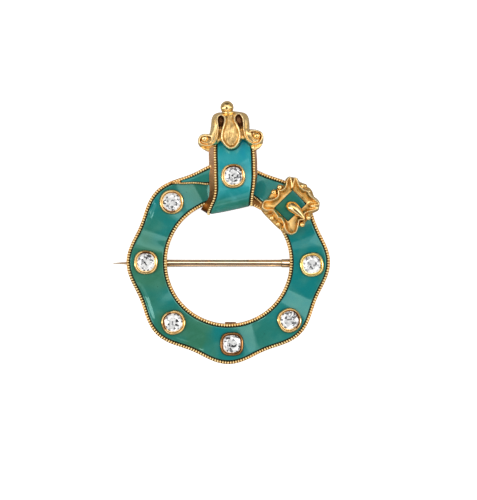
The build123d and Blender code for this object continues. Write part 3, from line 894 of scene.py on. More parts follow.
@dataclass(frozen=True)
class StoneFinish:
    """An old cut stone: a patchwork of white, grey and black as painted reflections of its facets.
    """

    name: str
    cell_scale: float = 3800
    glow: float = 0.22
    metal: float = 0.3
    roughness: float = 0.06
    coat_roughness: float = 0.02
    coat_ior: float = 2.0

    def build(self) -> Material:
        """Makes the material.

        Returns:
            The material.
        """
        board = Board(self.name)
        cells = board.node("ShaderNodeTexVoronoi", Vector=board.place, Scale=self.cell_scale)
        cells.feature = "F1"
        split = board.node("ShaderNodeSeparateColor", Color=cells.outputs["Color"])
        # Painted reflections: each cell stands in for a facet that mirrors white, grey or black.
        shade = board.ramp(
            split.outputs["Red"],
            [
                (0.0, (0.01, 0.01, 0.012)),
                (0.14, (0.05, 0.05, 0.055)),
                (0.24, (0.36, 0.36, 0.37)),
                (0.5, (0.78, 0.78, 0.77)),
                (1.0, (1.0, 1.0, 0.98)),
            ],
        )
        # The glow is a painted glow that brightens the stone.
        board.dress(
            Base_Color=shade,
            Emission_Color=shade,
            Emission_Strength=self.glow,
            Metallic=self.metal,
            Roughness=self.roughness,
            Coat_Weight=1.0,
            Coat_Roughness=self.coat_roughness,
            Coat_IOR=self.coat_ior,
        )
        return board.material


@dataclass(frozen=True)
class FloorFinish:
    """A table top that is white to the eye and grey in reflections."""

    name: str
    seen: float = 0.9
    mirrored: float = 0.42
    glow: float = 0.7
    roughness: float = 0.8

    def build(self) -> Material:
        """Makes the material.

        Returns:
            The material.
        """
        board = Board(self.name)
        eye = board.node("ShaderNodeLightPath").outputs["Is Camera Ray"]
        board.dress(
            Base_Color=board.ramp(eye, [(0.0, self.mirrored), (1.0, self.seen)]),
            Roughness=self.roughness,
            Specular_IOR_Level=0.0,
            Emission_Color=board.ramp(eye, [(0.0, 0.0), (1.0, 1.0)]),
            Emission_Strength=self.glow,
        )
        return board.material


@dataclass
class Finishes:
    """Every finish of the brooch, made once; several golds are copies with painted light and shade.
    """

    gold: Material = field(default_factory=GoldFinish("cast_gold").build)
    bright_gold: Material = field(
        default_factory=GoldFinish(
            "polished_gold", roughness=0.11, recess_reach=0.0003, recess_start=0.0,
            recess_end=0.3,
        ).build
    )
    collet_gold: Material = field(
        default_factory=GoldFinish(
            "collet_gold", recess=(0.2, 0.06, 0.012), roughness=0.15, recess_reach=0.0009,
            recess_end=0.8,
        ).build
    )
    # A copy of the collet gold with painted shade, for the bottom collet and the shaded lips.
    shaded_collet_gold: Material = field(
        default_factory=GoldFinish(
            "shaded_collet_gold", bright=(0.45, 0.22, 0.08), deep=(0.26, 0.11, 0.03),
            recess=(0.08, 0.03, 0.01), roughness=0.2, recess_reach=0.0009, recess_end=0.8,
        ).build
    )
    # A copy of the collet gold with painted light, for the right collet.
    lit_collet_gold: Material = field(
        default_factory=GoldFinish(
            "lit_collet_gold", bright=(1.0, 0.83, 0.38), deep=(0.93, 0.68, 0.2),
            roughness=0.15, recess_end=0.7,
        ).build
    )
    # A copy of the gold with painted shade, for the buckle's slopes.
    slope_shade_gold: Material = field(
        default_factory=GoldFinish(
            "slope_shade_gold", bright=(0.86, 0.56, 0.22), deep=(0.66, 0.38, 0.1),
            recess=(0.13, 0.05, 0.01), roughness=0.3,
        ).build
    )
    # A copy of the gold with a painted highlight, for the ridges of the terminal and the buckle.
    ridge_highlight_gold: Material = field(
        default_factory=GoldFinish(
            "ridge_highlight_gold", bright=(1.0, 0.8, 0.44), deep=(1.0, 0.74, 0.36), roughness=0.3,
            recess_end=0.35,
        ).build
    )
    leaf_gold: Material = field(
        default_factory=GoldFinish(
            "leaf_gold", bright=(0.82, 0.56, 0.24), deep=(0.5, 0.3, 0.09),
            recess=(0.16, 0.07, 0.015), roughness=0.36,
        ).build
    )
    # A copy of the gold with painted shade, for the terminal's hollows and the back lug.
    hollow_shade_gold: Material = field(
        default_factory=GoldFinish(
            "hollow_shade_gold", bright=(0.4, 0.2, 0.09), deep=(0.16, 0.07, 0.025),
            recess=(0.05, 0.018, 0.006), roughness=0.4,
        ).build
    )
    # The strap's walls: darker towards the lower end with painted shade, where they turn under.
    wall_gold: Material = field(
        default_factory=GoldFinish(
            "wall_gold", bright=(1.0, 0.6, 0.34), deep=(0.8, 0.42, 0.2),
            recess=(0.1, 0.035, 0.01), roughness=0.3, foot=(0.17, 0.055, 0.008),
        ).build
    )
    # A copy of the gold with painted shade, for the rims between the beads and the trays.
    rim_shade_gold: Material = field(
        default_factory=GoldFinish(
            "rim_shade_gold", bright=(0.5, 0.25, 0.075), deep=(0.26, 0.1, 0.02),
            recess=(0.06, 0.02, 0.004), roughness=0.3, recess_reach=0.0005,
        ).build
    )
    # Brighter than the gold and with a painted glow: a painted highlight on every bead.
    bead_glow_gold: Material = field(
        default_factory=GoldFinish(
            "milgrain_glow_gold", bright=(1.0, 0.82, 0.42), deep=(1.0, 0.7, 0.29),
            recess=(0.3, 0.1, 0.02), glow=0.17, roughness=0.33, recess_reach=0.00025,
            recess_end=0.5,
        ).build
    )
    # Its dark line along the pin is a painted reflection.
    pin_gold: Material = field(
        default_factory=GoldFinish(
            "pin_gold", bright=(1.0, 0.75, 0.5), deep=(1.0, 0.66, 0.4),
            recess=(0.16, 0.06, 0.02), roughness=0.06, grain_depth=0.000002, stripe=0.12,
        ).build
    )
    ring_enamel: Material = field(default_factory=EnamelFinish("ring_enamel").build)
    # Painted shade along the enamel's edges, beside the rims.
    enamel_shade_strip: Material = field(default_factory=ShadeFinish("enamel_shade_strip").build)
    strap_enamel: Material = field(
        default_factory=EnamelFinish(
            "strap_enamel", base=(0.002, 0.25, 0.46), drifted=(0.01, 0.32, 0.37),
            pale=(0.09, 0.46, 0.47), foot=(0.018, 0.19, 0.135),
        ).build
    )
    stone: Material = field(default_factory=StoneFinish("old_cut_stone").build)


@dataclass
class Belt:
    """The wavy belt: a gold band with a sunk tray of enamel and two milgrain rims.

    Sizes are in millimetres. Turns are in degrees, and run from the band's hidden end under the
    strap once round, on past 360, to the tip of its tail.

    Attributes:
        radius: The outer edge's mean radius.
        wave_rise: How far its waves swing to either side of that.
        wave_count: How many waves go round.
        hole_radius: The inner edge's radius.
        thickness: The band's thickness.
        tray_depth: How deep the tray is sunk.
        rim_width: How wide the rims are.
        tail_rim_width: How wide the inner rim is along the tail.
        underside: The mean height of the underside.
        lap_drop: How much lower the hidden end lies.
        lap_end: The turns between which the band comes up from under the lap.
        tail_thickness: The tail's thickness.
        tail_climb: The turns between which the tail climbs over the band.
        tail_fining: The turns between which its inner rim gets narrow.
        layer_gap: The space between the tail and the band under it.
        piece_gap: The space between enamel and gold.
        edge_drop: How far the enamel sinks towards its edges.
        crown: How far the enamel rises in its middle.
        lap_sink: How far it is hollow instead where the tail lies on it.
        tail_crown: How much more it rises on the tail.
        tail_swell: The turns between which that rise comes.
        bevel: How wide the band's bevels are.
        wave_lift: How far the waves lift the band as a whole.
        wave_height: How high its waves swell.
        crest_share: How far the crests are flattened and the troughs sharpened.
        rim_drop: How far the rims lie below the enamel.
        late_wave: How many degrees the waves of the upper left are turned, at late_turns.
        calm_share: How much lower the waves of the lower left are, at calm_turns.
        steep_share: How much higher the wave of the left is, at steep_turns.
        bead_pitch: How far apart the beads lie.
        bead_length: Their length, as a share of that.
        bead_width: Their width across the rim.
        bead_height: Their height, as a share of that.
        bead_rise: How far their middles lie above the rim.
        bead_inset: How far in from the band's edge their sides lie, as a share of the rim.
        edge_shade_width: How wide the strip of painted shade along the enamel is.
        streak_depth: How far the enamel's outer side falls off where it catches the light.
        streak_band: How far from its outer edge that slope starts and ends.
        tail_bead_pitch: How far apart the beads of the tail's inner rim lie.
        hidden_end: The turn where the band starts, which ends at tail_tip.
        tray_start: The turn where the tray starts, which ends at tray_end.
        step: How many degrees lie between two sections.
        strap_shade: The turns between which the strap hides the beads.
    """

    finishes: Finishes
    radius: float = 13.85
    wave_rise: float = 0.41
    wave_count: int = 8
    hole_radius: float = 8.61
    thickness: float = 1.15
    tray_depth: float = 0.3
    rim_width: float = 0.36
    tail_rim_width: float = 0.22
    underside: float = 1.7
    lap_drop: float = 0.5
    lap_end: tuple[float, float] = (125.0, 158.0)
    tail_thickness: float = 0.82
    tail_climb: tuple[float, float] = (365.0, 396.0)
    tail_fining: tuple[float, float] = (405.0, 425.0)
    layer_gap: float = 0.06
    piece_gap: float = 0.02
    edge_drop: float = 0.13
    crown: float = 0.05
    lap_sink: float = 0.06
    tail_crown: float = 0.06
    tail_swell: tuple[float, float] = (380.0, 400.0)
    bevel: float = 0.05
    wave_lift: float = 0.1
    wave_height: float = 0.235
    crest_share: float = 0.25
    rim_drop: float = 0.1
    late_wave: float = 1.0
    late_turns: Span = ((84.0, 100.0), (172.0, 184.0))
    calm_share: float = 0.45
    calm_turns: Span = ((186.0, 198.0), (260.0, 272.0))
    steep_share: float = 0.3
    steep_turns: Span = ((140.0, 150.0), (172.0, 182.0))
    bead_pitch: float = 0.37
    bead_length: float = 0.62
    bead_width: float = 0.42
    bead_height: float = 0.7
    bead_rise: float = 0.03
    bead_inset: float = 0.03
    edge_shade_width: float = 0.19
    streak_depth: float = 0.195
    streak_band: tuple[float, float] = (0.42, 0.94)
    tail_bead_pitch: float = 0.25
    hidden_end: float = 56.25
    tray_start: float = 90.0
    tray_end: float = 480.0
    tail_tip: float = 485.5
    step: float = 0.75
    strap_shade: tuple[float, float] = (69.0, 104.0)

    def tail_share(self, turn: np.ndarray, edge: Edge) -> np.ndarray:
        """How far the tail's edge has closed in, as a share of the band.

        Args:
            turn: Turns along the belt, in degrees.
            edge: The inner or the outer edge.

        Returns:
            The share at each turn.
        """
        turns = [405, 421, 450, 466, 480, 485.5]
        shares = {
            Edge.INNER: [0, 0.15, 0.38, 0.51, 0.77, 0.93],
            Edge.OUTER: [0, 0, 0, 0, 0.01, 0.03],
        }
        return np.interp(turn, turns, shares[edge])

    def section(self, turn: np.ndarray) -> tuple[np.ndarray, np.ndarray, np.ndarray, np.ndarray]:
        """The band's inner and outer radius, underside and top.

        Args:
            turn: Turns along the belt, in degrees.

        Returns:
            The four sizes at each turn.
        """
        turn = np.asarray(turn, float)
        wave = np.cos(np.radians(self.wave_count * turn))
        shift = self.late_wave * swell(turn % 360, self.late_turns)
        late = np.radians(self.wave_count * (turn + shift))
        strength = 1 - self.calm_share * swell(turn, self.calm_turns)
        strength = strength + self.steep_share * swell(turn, self.steep_turns)
        form = np.cos(late) - self.crest_share * np.cos(2 * late)
        roll = self.wave_lift + strength * self.wave_height * form
        band = self.radius - self.hole_radius
        inner = self.hole_radius + band * self.tail_share(turn, Edge.INNER)
        outer = self.radius + self.wave_rise * wave - band * self.tail_share(turn, Edge.OUTER)
        drop = self.lap_drop * (1 - ease(turn, *self.lap_end))
        lift = ease(turn, *self.tail_climb)
        base = self.underside + roll - drop
        base = base + (self.thickness - self.lap_drop + self.layer_gap) * lift
        top = base + self.thickness + (self.tail_thickness - self.thickness) * lift
        return inner, outer, base, top

    def rims(self, turn: np.ndarray) -> tuple[np.ndarray, np.ndarray]:
        """The width of the inner and the outer rim.

        Args:
            turn: Turns along the belt, in degrees.

        Returns:
            The two widths at each turn.
        """
        inner, outer = self.section(turn)[:2]
        room = 0.4 * (outer - inner)
        fine = ease(turn, *self.tail_fining)
        inner_rim = self.rim_width + (self.tail_rim_width - self.rim_width) * fine
        return np.minimum(inner_rim, room), np.minimum(self.rim_width, room)

    def turns(self, start: float, end: float) -> np.ndarray:
        """Even turns from start to end."""
        return np.linspace(start, end, round((end - start) / self.step) + 1)

    def place(self, turn: np.ndarray, radius: np.ndarray, height: np.ndarray) -> np.ndarray:
        """Points at turns, radii and heights."""
        angle = np.radians(turn)
        return np.stack([radius * np.cos(angle), radius * np.sin(angle), height], axis=-1)

    def band(self) -> Object:
        """Makes the gold band.

        Returns:
            The piece.
        """
        turn = self.turns(self.hidden_end, self.tail_tip)
        inner, outer, base, top = self.section(turn)
        inner_rim, outer_rim = self.rims(turn)
        sunk = self.tray_depth * ease(turn, self.tray_start, self.tray_start + 1)
        sunk = sunk * (1 - ease(turn, self.tray_end, self.tray_end + 1))
        bevel = np.minimum(self.bevel, 0.2 * (outer - inner))
        floor = top - sunk
        top = top - self.rim_drop
        lip = top - np.minimum(sunk, bevel)
        corners = [
            (outer, base + bevel),
            (outer, top - bevel),
            (outer - 0.3 * bevel, top - 0.3 * bevel),
            (outer - bevel, top),
            (outer - outer_rim + 0.5 * bevel, top),
            (outer - outer_rim, lip),
            (outer - outer_rim, floor),
            (inner + inner_rim, floor),
            (inner + inner_rim, lip),
            (inner + inner_rim - 0.5 * bevel, top),
            (inner + bevel, top),
            (inner + 0.3 * bevel, top - 0.3 * bevel),
            (inner, top - bevel),
            (inner, base + bevel),
            (inner + bevel, base),
            (outer - bevel, base),
        ]
        rings = np.stack([self.place(turn, radius, height) for radius, height in corners], axis=1)
        draft = Draft()
        draft.rings(rings)
        piece = draft.make("belt_band", self.finishes.gold, replaces=["belt_frame"])
        # Sides 1 to 11 are the rims and the tray, with painted shade between the beads.
        paint_sides(piece, self.finishes.rim_shade_gold, len(corners), {*range(1, 12)})
        return piece

    def streak(self, turn: np.ndarray) -> np.ndarray:
        """How far the enamel's outer side falls off to catch the light.

        Args:
            turn: Turns along the belt, in degrees.

        Returns:
            The share of the full fall at each turn.
        """
        left = 1 - 0.35 * ease(turn, 201, 206) - 0.65 * ease(turn, 212, 222)
        upper_left = 0.9 * swell(turn, ((139, 143), (148, 152)))
        lower_left = 0.6 * swell(turn, ((231, 237), (249, 256)))
        return ease(turn, 191, 196) * left + upper_left + lower_left

    def glaze(self) -> Object:
        """Makes the enamel in the tray.

        Returns:
            The piece.
        """
        turn = self.turns(self.tray_start + 0.2, self.tray_end)
        inner, outer, _, top = self.section(turn)
        inner_rim, outer_rim = self.rims(turn)
        left = inner + inner_rim + self.piece_gap
        right = outer - outer_rim - self.piece_gap
        crown = -self.lap_sink + (self.crown + self.lap_sink) * ease(turn, *self.lap_end)
        crown = crown + self.tail_crown * ease(turn, *self.tail_swell)
        strip = np.minimum(self.edge_shade_width, 0.1 * (right - left))
        middle = right - left - 2 * strip
        ends = np.linspace(0, 1, 5)
        places = [left + strip * share for share in ends]
        places += [left + strip + middle * share for share in np.linspace(0, 1, 25)[1:-1]]
        places += [right - strip * share for share in ends[::-1]]
        fall = self.streak_depth * self.streak(turn)
        rows = [(left, top - self.tray_depth + self.piece_gap)]
        for radius in places:
            gap = np.minimum(radius - left, right - radius) / strip
            share = (2 * radius - left - right) / (right - left)
            height = top + crown * (1 - share**2) - self.edge_drop * (1 - ease(gap, 0, 1))
            rows.append((radius, height - fall * (1 - ease(right - radius, *self.streak_band))))
        rows.append((right, top - self.tray_depth + self.piece_gap))
        rings = np.stack([self.place(turn, radius, height) for radius, height in rows], axis=1)
        draft = Draft()
        draft.rings(rings)
        piece = draft.make(
            "belt_glaze", self.finishes.ring_enamel, replaces=["belt_enamel"]
        )
        # The walls and the strips beside them get painted shade.
        count = len(rows)
        shaded_strips = {*range(5), *range(count - 6, count - 1)}
        paint_sides(piece, self.finishes.enamel_shade_strip, count, shaded_strips)
        return piece

    def bead_row(self, start: float, end: float, edge: Edge, pitch: float) -> np.ndarray:
        """Places for the beads of one rim.

        Args:
            start: The first turn.
            end: The last turn.
            edge: The inner or the outer edge.
            pitch: How far apart the beads lie.

        Returns:
            Rows of x, y, z, half width across, half width along, half height and turn.
        """
        fine = np.linspace(start, end, 4000)
        inner, outer, _, top = self.section(fine)
        inner_rim, outer_rim = self.rims(fine)
        middle = 0.5 * self.bead_width / self.rim_width + self.bead_inset
        rim = inner_rim if edge is Edge.INNER else outer_rim
        radius = inner + middle * rim if edge is Edge.INNER else outer - middle * rim
        line = self.place(fine, radius, top)
        length = np.concatenate([[0], np.cumsum(np.linalg.norm(np.diff(line, axis=0), axis=1))])
        count = round(length[-1] / pitch)
        marks = (np.arange(count) + 0.5) * length[-1] / count
        turn = np.interp(marks, length, fine)
        picked = np.stack([np.interp(marks, length, line[:, axis]) for axis in range(3)], axis=1)
        away = (turn % 360 < self.strap_shade[0]) | (turn % 360 > self.strap_shade[1])
        if edge is Edge.OUTER:
            away |= turn > 360
        across = np.interp(turn, fine, 0.5 * self.bead_width * rim / self.rim_width)
        picked[:, 2] += self.bead_rise - self.rim_drop
        along = np.full(len(turn), 0.5 * self.bead_length * pitch)
        return np.column_stack([picked, across, along, self.bead_height * across, turn])[away]

    def milgrain(self) -> Object:
        """Makes the beads along the rims.

        Returns:
            The piece.
        """
        rows = [
            self.bead_row(127.0, 484.6, Edge.OUTER, self.bead_pitch),
            self.bead_row(57.0, 407.0, Edge.INNER, self.bead_pitch),
            self.bead_row(407.2, 484.0, Edge.INNER, self.tail_bead_pitch),
        ]
        draft = Draft()
        draft.beads(np.vstack(rows))
        return draft.make("belt_milgrain", self.finishes.bead_glow_gold)

    def build(self) -> None:
        """Makes every piece of the belt."""
        self.band()
        self.glaze()
        self.milgrain()


@dataclass
class Strap:
    """The keeper strap: an arched band with sloping walls, a tray of enamel and beaded rims.

    Attributes:
        width: The outer face's width, in millimetres as all its sizes.
        offset: How far right of the ring's middle the strap lies.
        thickness: The band's thickness.
        left_slope: How far the left wall runs out under the face.
        right_slope: How far the right wall runs out.
        peak: The height of its highest place.
        end: How far above the ring's middle its upper end lies.
        reach: How far down the curl's lower end lies from there.
        lean: How far the curl runs aslant, in degrees.
        rim_width: How wide the rims are.
        rim_drop: How deep the rims lie below the strap's outer face.
        bevel: How wide the band's bevels are.
        tray_depth: How deep the tray is sunk below that face.
        piece_gap: The space between enamel and gold.
        edge_drop: How far the enamel sinks towards its edges.
        crown: How far the enamel rises in its middle.
        crown_power: How flat that rise is.
        bead_pitch: How far apart the beads lie.
        bead_length: Their length, as a share of that.
        bead_width: Their width across the rim.
        bead_height: Their height, as a share of that.
        bead_depth: How deep their middles lie below the outer face.
        edge_shade_width: How wide the strip of painted shade along the enamel is.
        path_steps: How many steps lie between two rows of the side view.
        enamel_rows: How many rows of steps the enamel runs over, from the upper end.
        beaded_steps: How many steps the beads run over.
    """

    finishes: Finishes
    width: float = 5.6
    offset: float = 0.76
    thickness: float = 0.88
    left_slope: float = 0.7
    right_slope: float = 0.3
    peak: float = 4.85
    end: float = 17.3
    reach: float = 10.2
    lean: float = 11.7
    rim_width: float = 0.34
    rim_drop: float = 0.1
    bevel: float = 0.05
    tray_depth: float = 0.3
    piece_gap: float = 0.02
    edge_drop: float = 0.12
    crown: float = 0.07
    crown_power: float = 2.5
    bead_pitch: float = 0.37
    bead_length: float = 0.62
    bead_width: float = 0.36
    bead_height: float = 0.7
    bead_depth: float = 0.03
    edge_shade_width: float = 0.2
    path_steps: int = 10
    enamel_rows: int = 12
    beaded_steps: int = 116

    def path(self) -> np.ndarray:
        """The strap's side view, from its upper end round the curl to its back end.

        Returns:
            Rows of how far down and how high, as shares of the reach and the peak, which way the
            face looks, in degrees, the share of the thickness, how much wider it is on the left
            and on the right, and the shares of the left and the right slope.
        """
        rows = [
            (-0.08, 0.52, 66, 1, 0.00, 0.00, 1.0, 1.0),
            (0.00, 0.59, 67, 1, 0.00, 0.00, 1.0, 1.0),
            (0.14, 0.707, 70, 1, 0.00, 0.01, 1.0, 1.0),
            (0.32, 0.836, 74, 1, -0.01, 0.03, 1.0, 1.0),
            (0.46, 0.914, 77.5, 1, -0.015, 0.035, 1.0, 1.0),
            (0.56, 0.958, 80.5, 1, -0.02, 0.04, 1.0, 0.9),
            (0.66, 0.989, 85, 1, -0.02, 0.03, 1.0, 0.8),
            (0.735, 1.0, 92, 1, 0.0, 0.015, 1.03, 0.6),
            (0.79, 0.985, 101, 1, 0.03, 0.0, 1.06, 0.5),
            (0.86, 0.918, 120, 1, 0.09, -0.015, 1.1, 0.35),
            (0.94, 0.75, 150, 1, 0.16, -0.03, 1.2, 0.3),
            (0.97, 0.50, 185, 1, 0.16, -0.03, 1.2, 0.3),
            (0.95, 0.20, 228, 0.9, 0.14, -0.02, 1.0, 0.3),
            (0.87, 0.00, 268, 0.85, 0.10, 0.00, 0.6, 0.3),
            (0.62, 0.00, 270, 0.85, 0.04, 0.00, 0.3, 0.2),
            (0.40, 0.01, 273, 0.85, 0.00, 0.00, 0.3, 0.2),
            (0.20, 0.05, 284, 0.85, 0.00, 0.00, 0.3, 0.2),
            (0.00, 0.17, 290, 0.85, 0.00, 0.00, 0.3, 0.2),
        ]
        made = smooth_rows(rows, self.path_steps)
        made[:, 1] = np.maximum(made[:, 1], 0)
        return made

    def sheet(self, path: np.ndarray, x: np.ndarray, depth: np.ndarray) -> np.ndarray:
        """Points of the strap.

        Args:
            path: Rows of the side view.
            x: How far across each point lies.
            depth: How deep below the outer face.

        Returns:
            The points.
        """
        face = np.radians(path[:, 2])
        y = self.end - self.reach * path[:, 0] - depth * np.cos(face)
        y = y + math.tan(math.radians(self.lean)) * (x - self.offset)
        z = self.peak * path[:, 1] - depth * np.sin(face)
        return np.stack([x, np.minimum(y, self.end), z], axis=-1)

    def sides(self, path: np.ndarray, depth: np.ndarray) -> tuple[np.ndarray, np.ndarray]:
        """Where the two side walls lie at a depth.

        Args:
            path: Rows of the side view.
            depth: How deep below the outer face.

        Returns:
            The left and the right wall's place.
        """
        share = depth / self.thickness
        more_left, more_right, left_wall, right_wall = path[:, 4:8].T
        left = self.offset - self.width * (0.5 + more_left)
        left = left - self.left_slope * left_wall * share
        right = self.offset + self.width * (0.5 + more_right)
        right = right + self.right_slope * right_wall * share
        return left, right

    def band(self) -> Object:
        """Makes the gold band.

        Returns:
            The piece.
        """
        path = self.path()
        full = self.thickness * path[:, 3]
        none = np.zeros(len(path))
        left, right = self.sides(path, none)
        left_foot, right_foot = self.sides(path, full)
        sunk = none + self.tray_depth
        bevel, rim = self.bevel, none + self.rim_drop
        across = [
            (left_foot, full),
            (left, rim + bevel),
            (left + 0.4 * bevel, rim + 0.2 * bevel),
            (left + bevel, rim),
            (left + self.rim_width - bevel, rim),
            (left + self.rim_width, rim + bevel),
            (left + self.rim_width, sunk),
            (right - self.rim_width, sunk),
            (right - self.rim_width, rim + bevel),
            (right - self.rim_width + bevel, rim),
            (right - bevel, rim),
            (right - 0.4 * bevel, rim + 0.2 * bevel),
            (right, rim + bevel),
            (right_foot, full),
        ]
        rings = np.stack([self.sheet(path, x, depth) for x, depth in across], axis=1)
        draft = Draft()
        draft.rings(rings)
        piece = draft.make("strap_band", self.finishes.gold, replaces=["strap_frame"])
        # Sides 1 to 11 are rims and tray, painted shade between beads; 0 and 12 the sloping walls.
        paint_sides(piece, self.finishes.rim_shade_gold, len(across), {*range(1, 12)})
        paint_sides(piece, self.finishes.wall_gold, len(across), {0, 12})
        return piece

    def glaze(self) -> Object:
        """Makes the enamel in the strap's tray.

        Returns:
            The piece.
        """
        path = self.path()[: self.enamel_rows * self.path_steps]
        left, right = self.sides(path, np.zeros(len(path)))
        left = left + self.rim_width + self.piece_gap
        right = right - self.rim_width - self.piece_gap
        floor = np.full(len(path), self.tray_depth - self.piece_gap)
        strip = self.edge_shade_width
        middle = right - left - 2 * strip
        ends = np.linspace(0, 1, 5)
        places = [left + strip * share for share in ends]
        places += [left + strip + middle * share for share in np.linspace(0, 1, 19)[1:-1]]
        places += [right - strip * share for share in ends[::-1]]
        rows = [(left, floor)]
        for x in places:
            gap = np.minimum(x - left, right - x) / strip
            share = (2 * x - left - right) / (right - left)
            rise = self.crown * (1 - abs(share) ** self.crown_power)
            rows.append((x, self.edge_drop * (1 - ease(gap, 0, 1)) - rise))
        rows.append((right, floor))
        rings = np.stack([self.sheet(path, x, depth) for x, depth in rows], axis=1)
        draft = Draft()
        draft.rings(rings)
        piece = draft.make(
            "strap_glaze", self.finishes.strap_enamel, replaces=["strap_enamel"]
        )
        # The walls and the strips beside them get painted shade.
        count = len(rows)
        shaded_strips = {*range(5), *range(count - 6, count - 1)}
        paint_sides(piece, self.finishes.enamel_shade_strip, count, shaded_strips)
        return piece

    def milgrain(self) -> Object:
        """Makes the beads along the strap's rims.

        Returns:
            The piece.
        """
        path = smooth_rows(self.path()[: self.beaded_steps], 3)
        left, right = self.sides(path, np.zeros(len(path)))
        draft = Draft()
        for x in (left + 0.5 * self.rim_width, right - 0.5 * self.rim_width):
            line = self.sheet(path, x, np.full(len(path), self.bead_depth))
            line = line[line[:, 1] < self.end - 0.05]
            length = np.concatenate([[0], np.cumsum(np.linalg.norm(np.diff(line, axis=0), axis=1))])
            marks = np.arange(0.5 * self.bead_pitch, length[-1], self.bead_pitch)
            picked = [np.interp(marks, length, line[:, axis]) for axis in range(3)]
            none = np.zeros(len(marks))
            along = none + 0.5 * self.bead_length * self.bead_pitch
            across = none + 0.5 * self.bead_width
            tall = self.bead_height * across
            draft.beads(np.column_stack([*picked, across, along, tall, none]))
        return draft.make("strap_milgrain", self.finishes.bead_glow_gold)

    def build(self) -> None:
        """Makes every piece of the strap."""
        self.band()
        self.glaze()
        self.milgrain()


@dataclass
class Terminal:
    """The cast terminal: a bud with a scooped leaf, curling petals, a collar and a bead.

    Attributes:
        back: The height of the bud's back, in millimetres as all its sizes.
        volute_back: The height of the volutes' backs.
        strap_end: Where the bud's back starts, beyond the strap's upper end.
        shoulder_low: The height of the bud's outer edge.
        shoulder_high: The height of its shoulder.
        shoulder_reach: How far in from the edge the shoulder is reached.
        volute_low: The height of the volutes' outer edges.
        top: The greatest height.
        ridge_width: How wide the bright ridge is.
        hollow_depth: How deep the hollows beside the leaf are, near the collar.
        hollow_shallow: How deep they are at their lower ends.
        dish_depth: How deep the leaf is dished.
        wrinkle: How deep the leaf's wrinkles are.
        cup_depth: How deep the volutes are cupped.
        groove: How deep the groove beside the volutes' ridge is, how far off it runs and how
            wide it is.
        collar_fall: How far the bud falls off under the collar.
        collar_middle: Where the collar's and the bead's middle lies, and how high.
        collar_form: The collar's width and height, as shares of its profile.
        spacing: How far apart the casting's points lie.
    """

    finishes: Finishes
    back: float = 1.5
    volute_back: float = 3.42
    strap_end: float = 17.33
    shoulder_low: float = 2.9
    shoulder_high: float = 4.12
    shoulder_reach: float = 0.85
    volute_low: float = 3.72
    top: float = 5.05
    ridge_width: float = 0.13
    hollow_depth: float = 0.95
    hollow_shallow: float = 0.25
    dish_depth: float = 0.4
    wrinkle: float = 0.024
    cup_depth: float = 0.5
    groove: tuple[float, float, float] = (0.2, 0.31, 0.09)
    collar_fall: float = 0.5
    collar_middle: tuple[float, float] = (0.03, 3.05)
    collar_form: tuple[float, float] = (0.86, 0.78)
    spacing: float = 0.055

    def ridge(self) -> np.ndarray:
        """The one bright ridge from volute to volute.

        Returns:
            Rows of x, y and height.
        """
        return np.array(
            [
                (-2.39, 17.62, 4.1), (-3.15, 17.83, 4.25), (-3.84, 17.62, 4.35),
                (-4.1, 16.99, 4.4), (-3.88, 16.51, 4.42), (-3.29, 16.32, 4.43),
                (-2.53, 16.33, 4.44), (-1.97, 16.65, 4.46), (-1.65, 17.27, 4.5),
                (-1.49, 18.03, 4.52), (-1.42, 18.86, 4.52), (-1.54, 19.69, 4.45),
                (-1.49, 20.32, 4.3), (-1.07, 20.62, 4.22), (-0.66, 20.48, 4.3),
                (-0.49, 19.97, 4.5), (-0.59, 19.28, 4.75), (-0.8, 18.59, 4.9),
                (-0.96, 17.76, 4.97), (-0.88, 17.06, 4.95), (-0.5, 16.42, 4.85),
                (-0.03, 16.02, 4.74), (0.31, 15.9, 4.7), (0.87, 16.02, 4.74), (1.32, 16.48, 4.85),
                (1.58, 17.06, 4.95), (1.65, 17.76, 4.97), (1.52, 18.59, 4.9), (1.21, 19.28, 4.75),
                (0.93, 19.83, 4.5), (0.93, 20.39, 4.3), (1.28, 20.76, 4.22), (1.7, 20.69, 4.3),
                (2.04, 20.11, 4.45), (2.14, 19.28, 4.52), (2.18, 18.45, 4.52), (2.32, 17.76, 4.5),
                (2.6, 17.13, 4.46), (3.08, 16.72, 4.44), (3.7, 16.5, 4.43), (4.33, 16.69, 4.42),
                (4.72, 17.2, 4.4), (4.78, 17.8, 4.38), (4.5, 18.2, 4.35), (3.77, 18.44, 4.25),
                (3.08, 18.38, 4.1),
            ]
        )

    def outline(self) -> np.ndarray:
        """The casting's outline from above.

        Returns:
            Rows of x and y.
        """
        rows = [
            (-0.8, 21.05), (-1.5, 20.98), (-2.04, 20.7), (-2.32, 20.15), (-2.41, 19.5),
            (-2.47, 18.9), (-2.56, 18.3), (-2.66, 17.95), (-2.95, 17.95), (-3.3, 17.98),
            (-3.8, 17.84), (-4.14, 17.45), (-4.26, 16.95), (-4.2, 16.5), (-3.98, 16.15),
            (-3.6, 15.85), (-3.2, 15.62), (-2.82, 15.46), (-2.6, 15.62), (-2.5, 15.92),
            (-2.2, 16.15), (-1.8, 16.38), (-1.4, 16.68), (-1.1, 16.95), (-1.02, 16.9),
            (-0.72, 16.5), (-0.3, 16.05), (0.12, 15.78), (0.5, 15.76), (0.95, 15.86),
            (1.45, 16.3), (1.76, 16.8), (1.92, 17.1), (2.1, 17.18), (2.35, 17.02), (2.78, 16.66),
            (3.08, 16.38), (3.2, 16.0), (3.36, 15.72), (3.72, 15.62), (4.12, 15.78), (4.5, 16.08),
            (4.8, 16.57), (4.92, 17.2), (4.86, 17.85), (4.6, 18.25), (4.1, 18.5), (3.4, 18.62),
            (3.02, 18.66), (2.99, 19.0), (2.96, 19.55), (2.86, 20.2), (2.62, 20.68), (2.2, 20.98),
            (1.5, 21.12), (0.9, 21.18), (0.0, 21.22),
        ]
        return closed_curve(rows, 6)

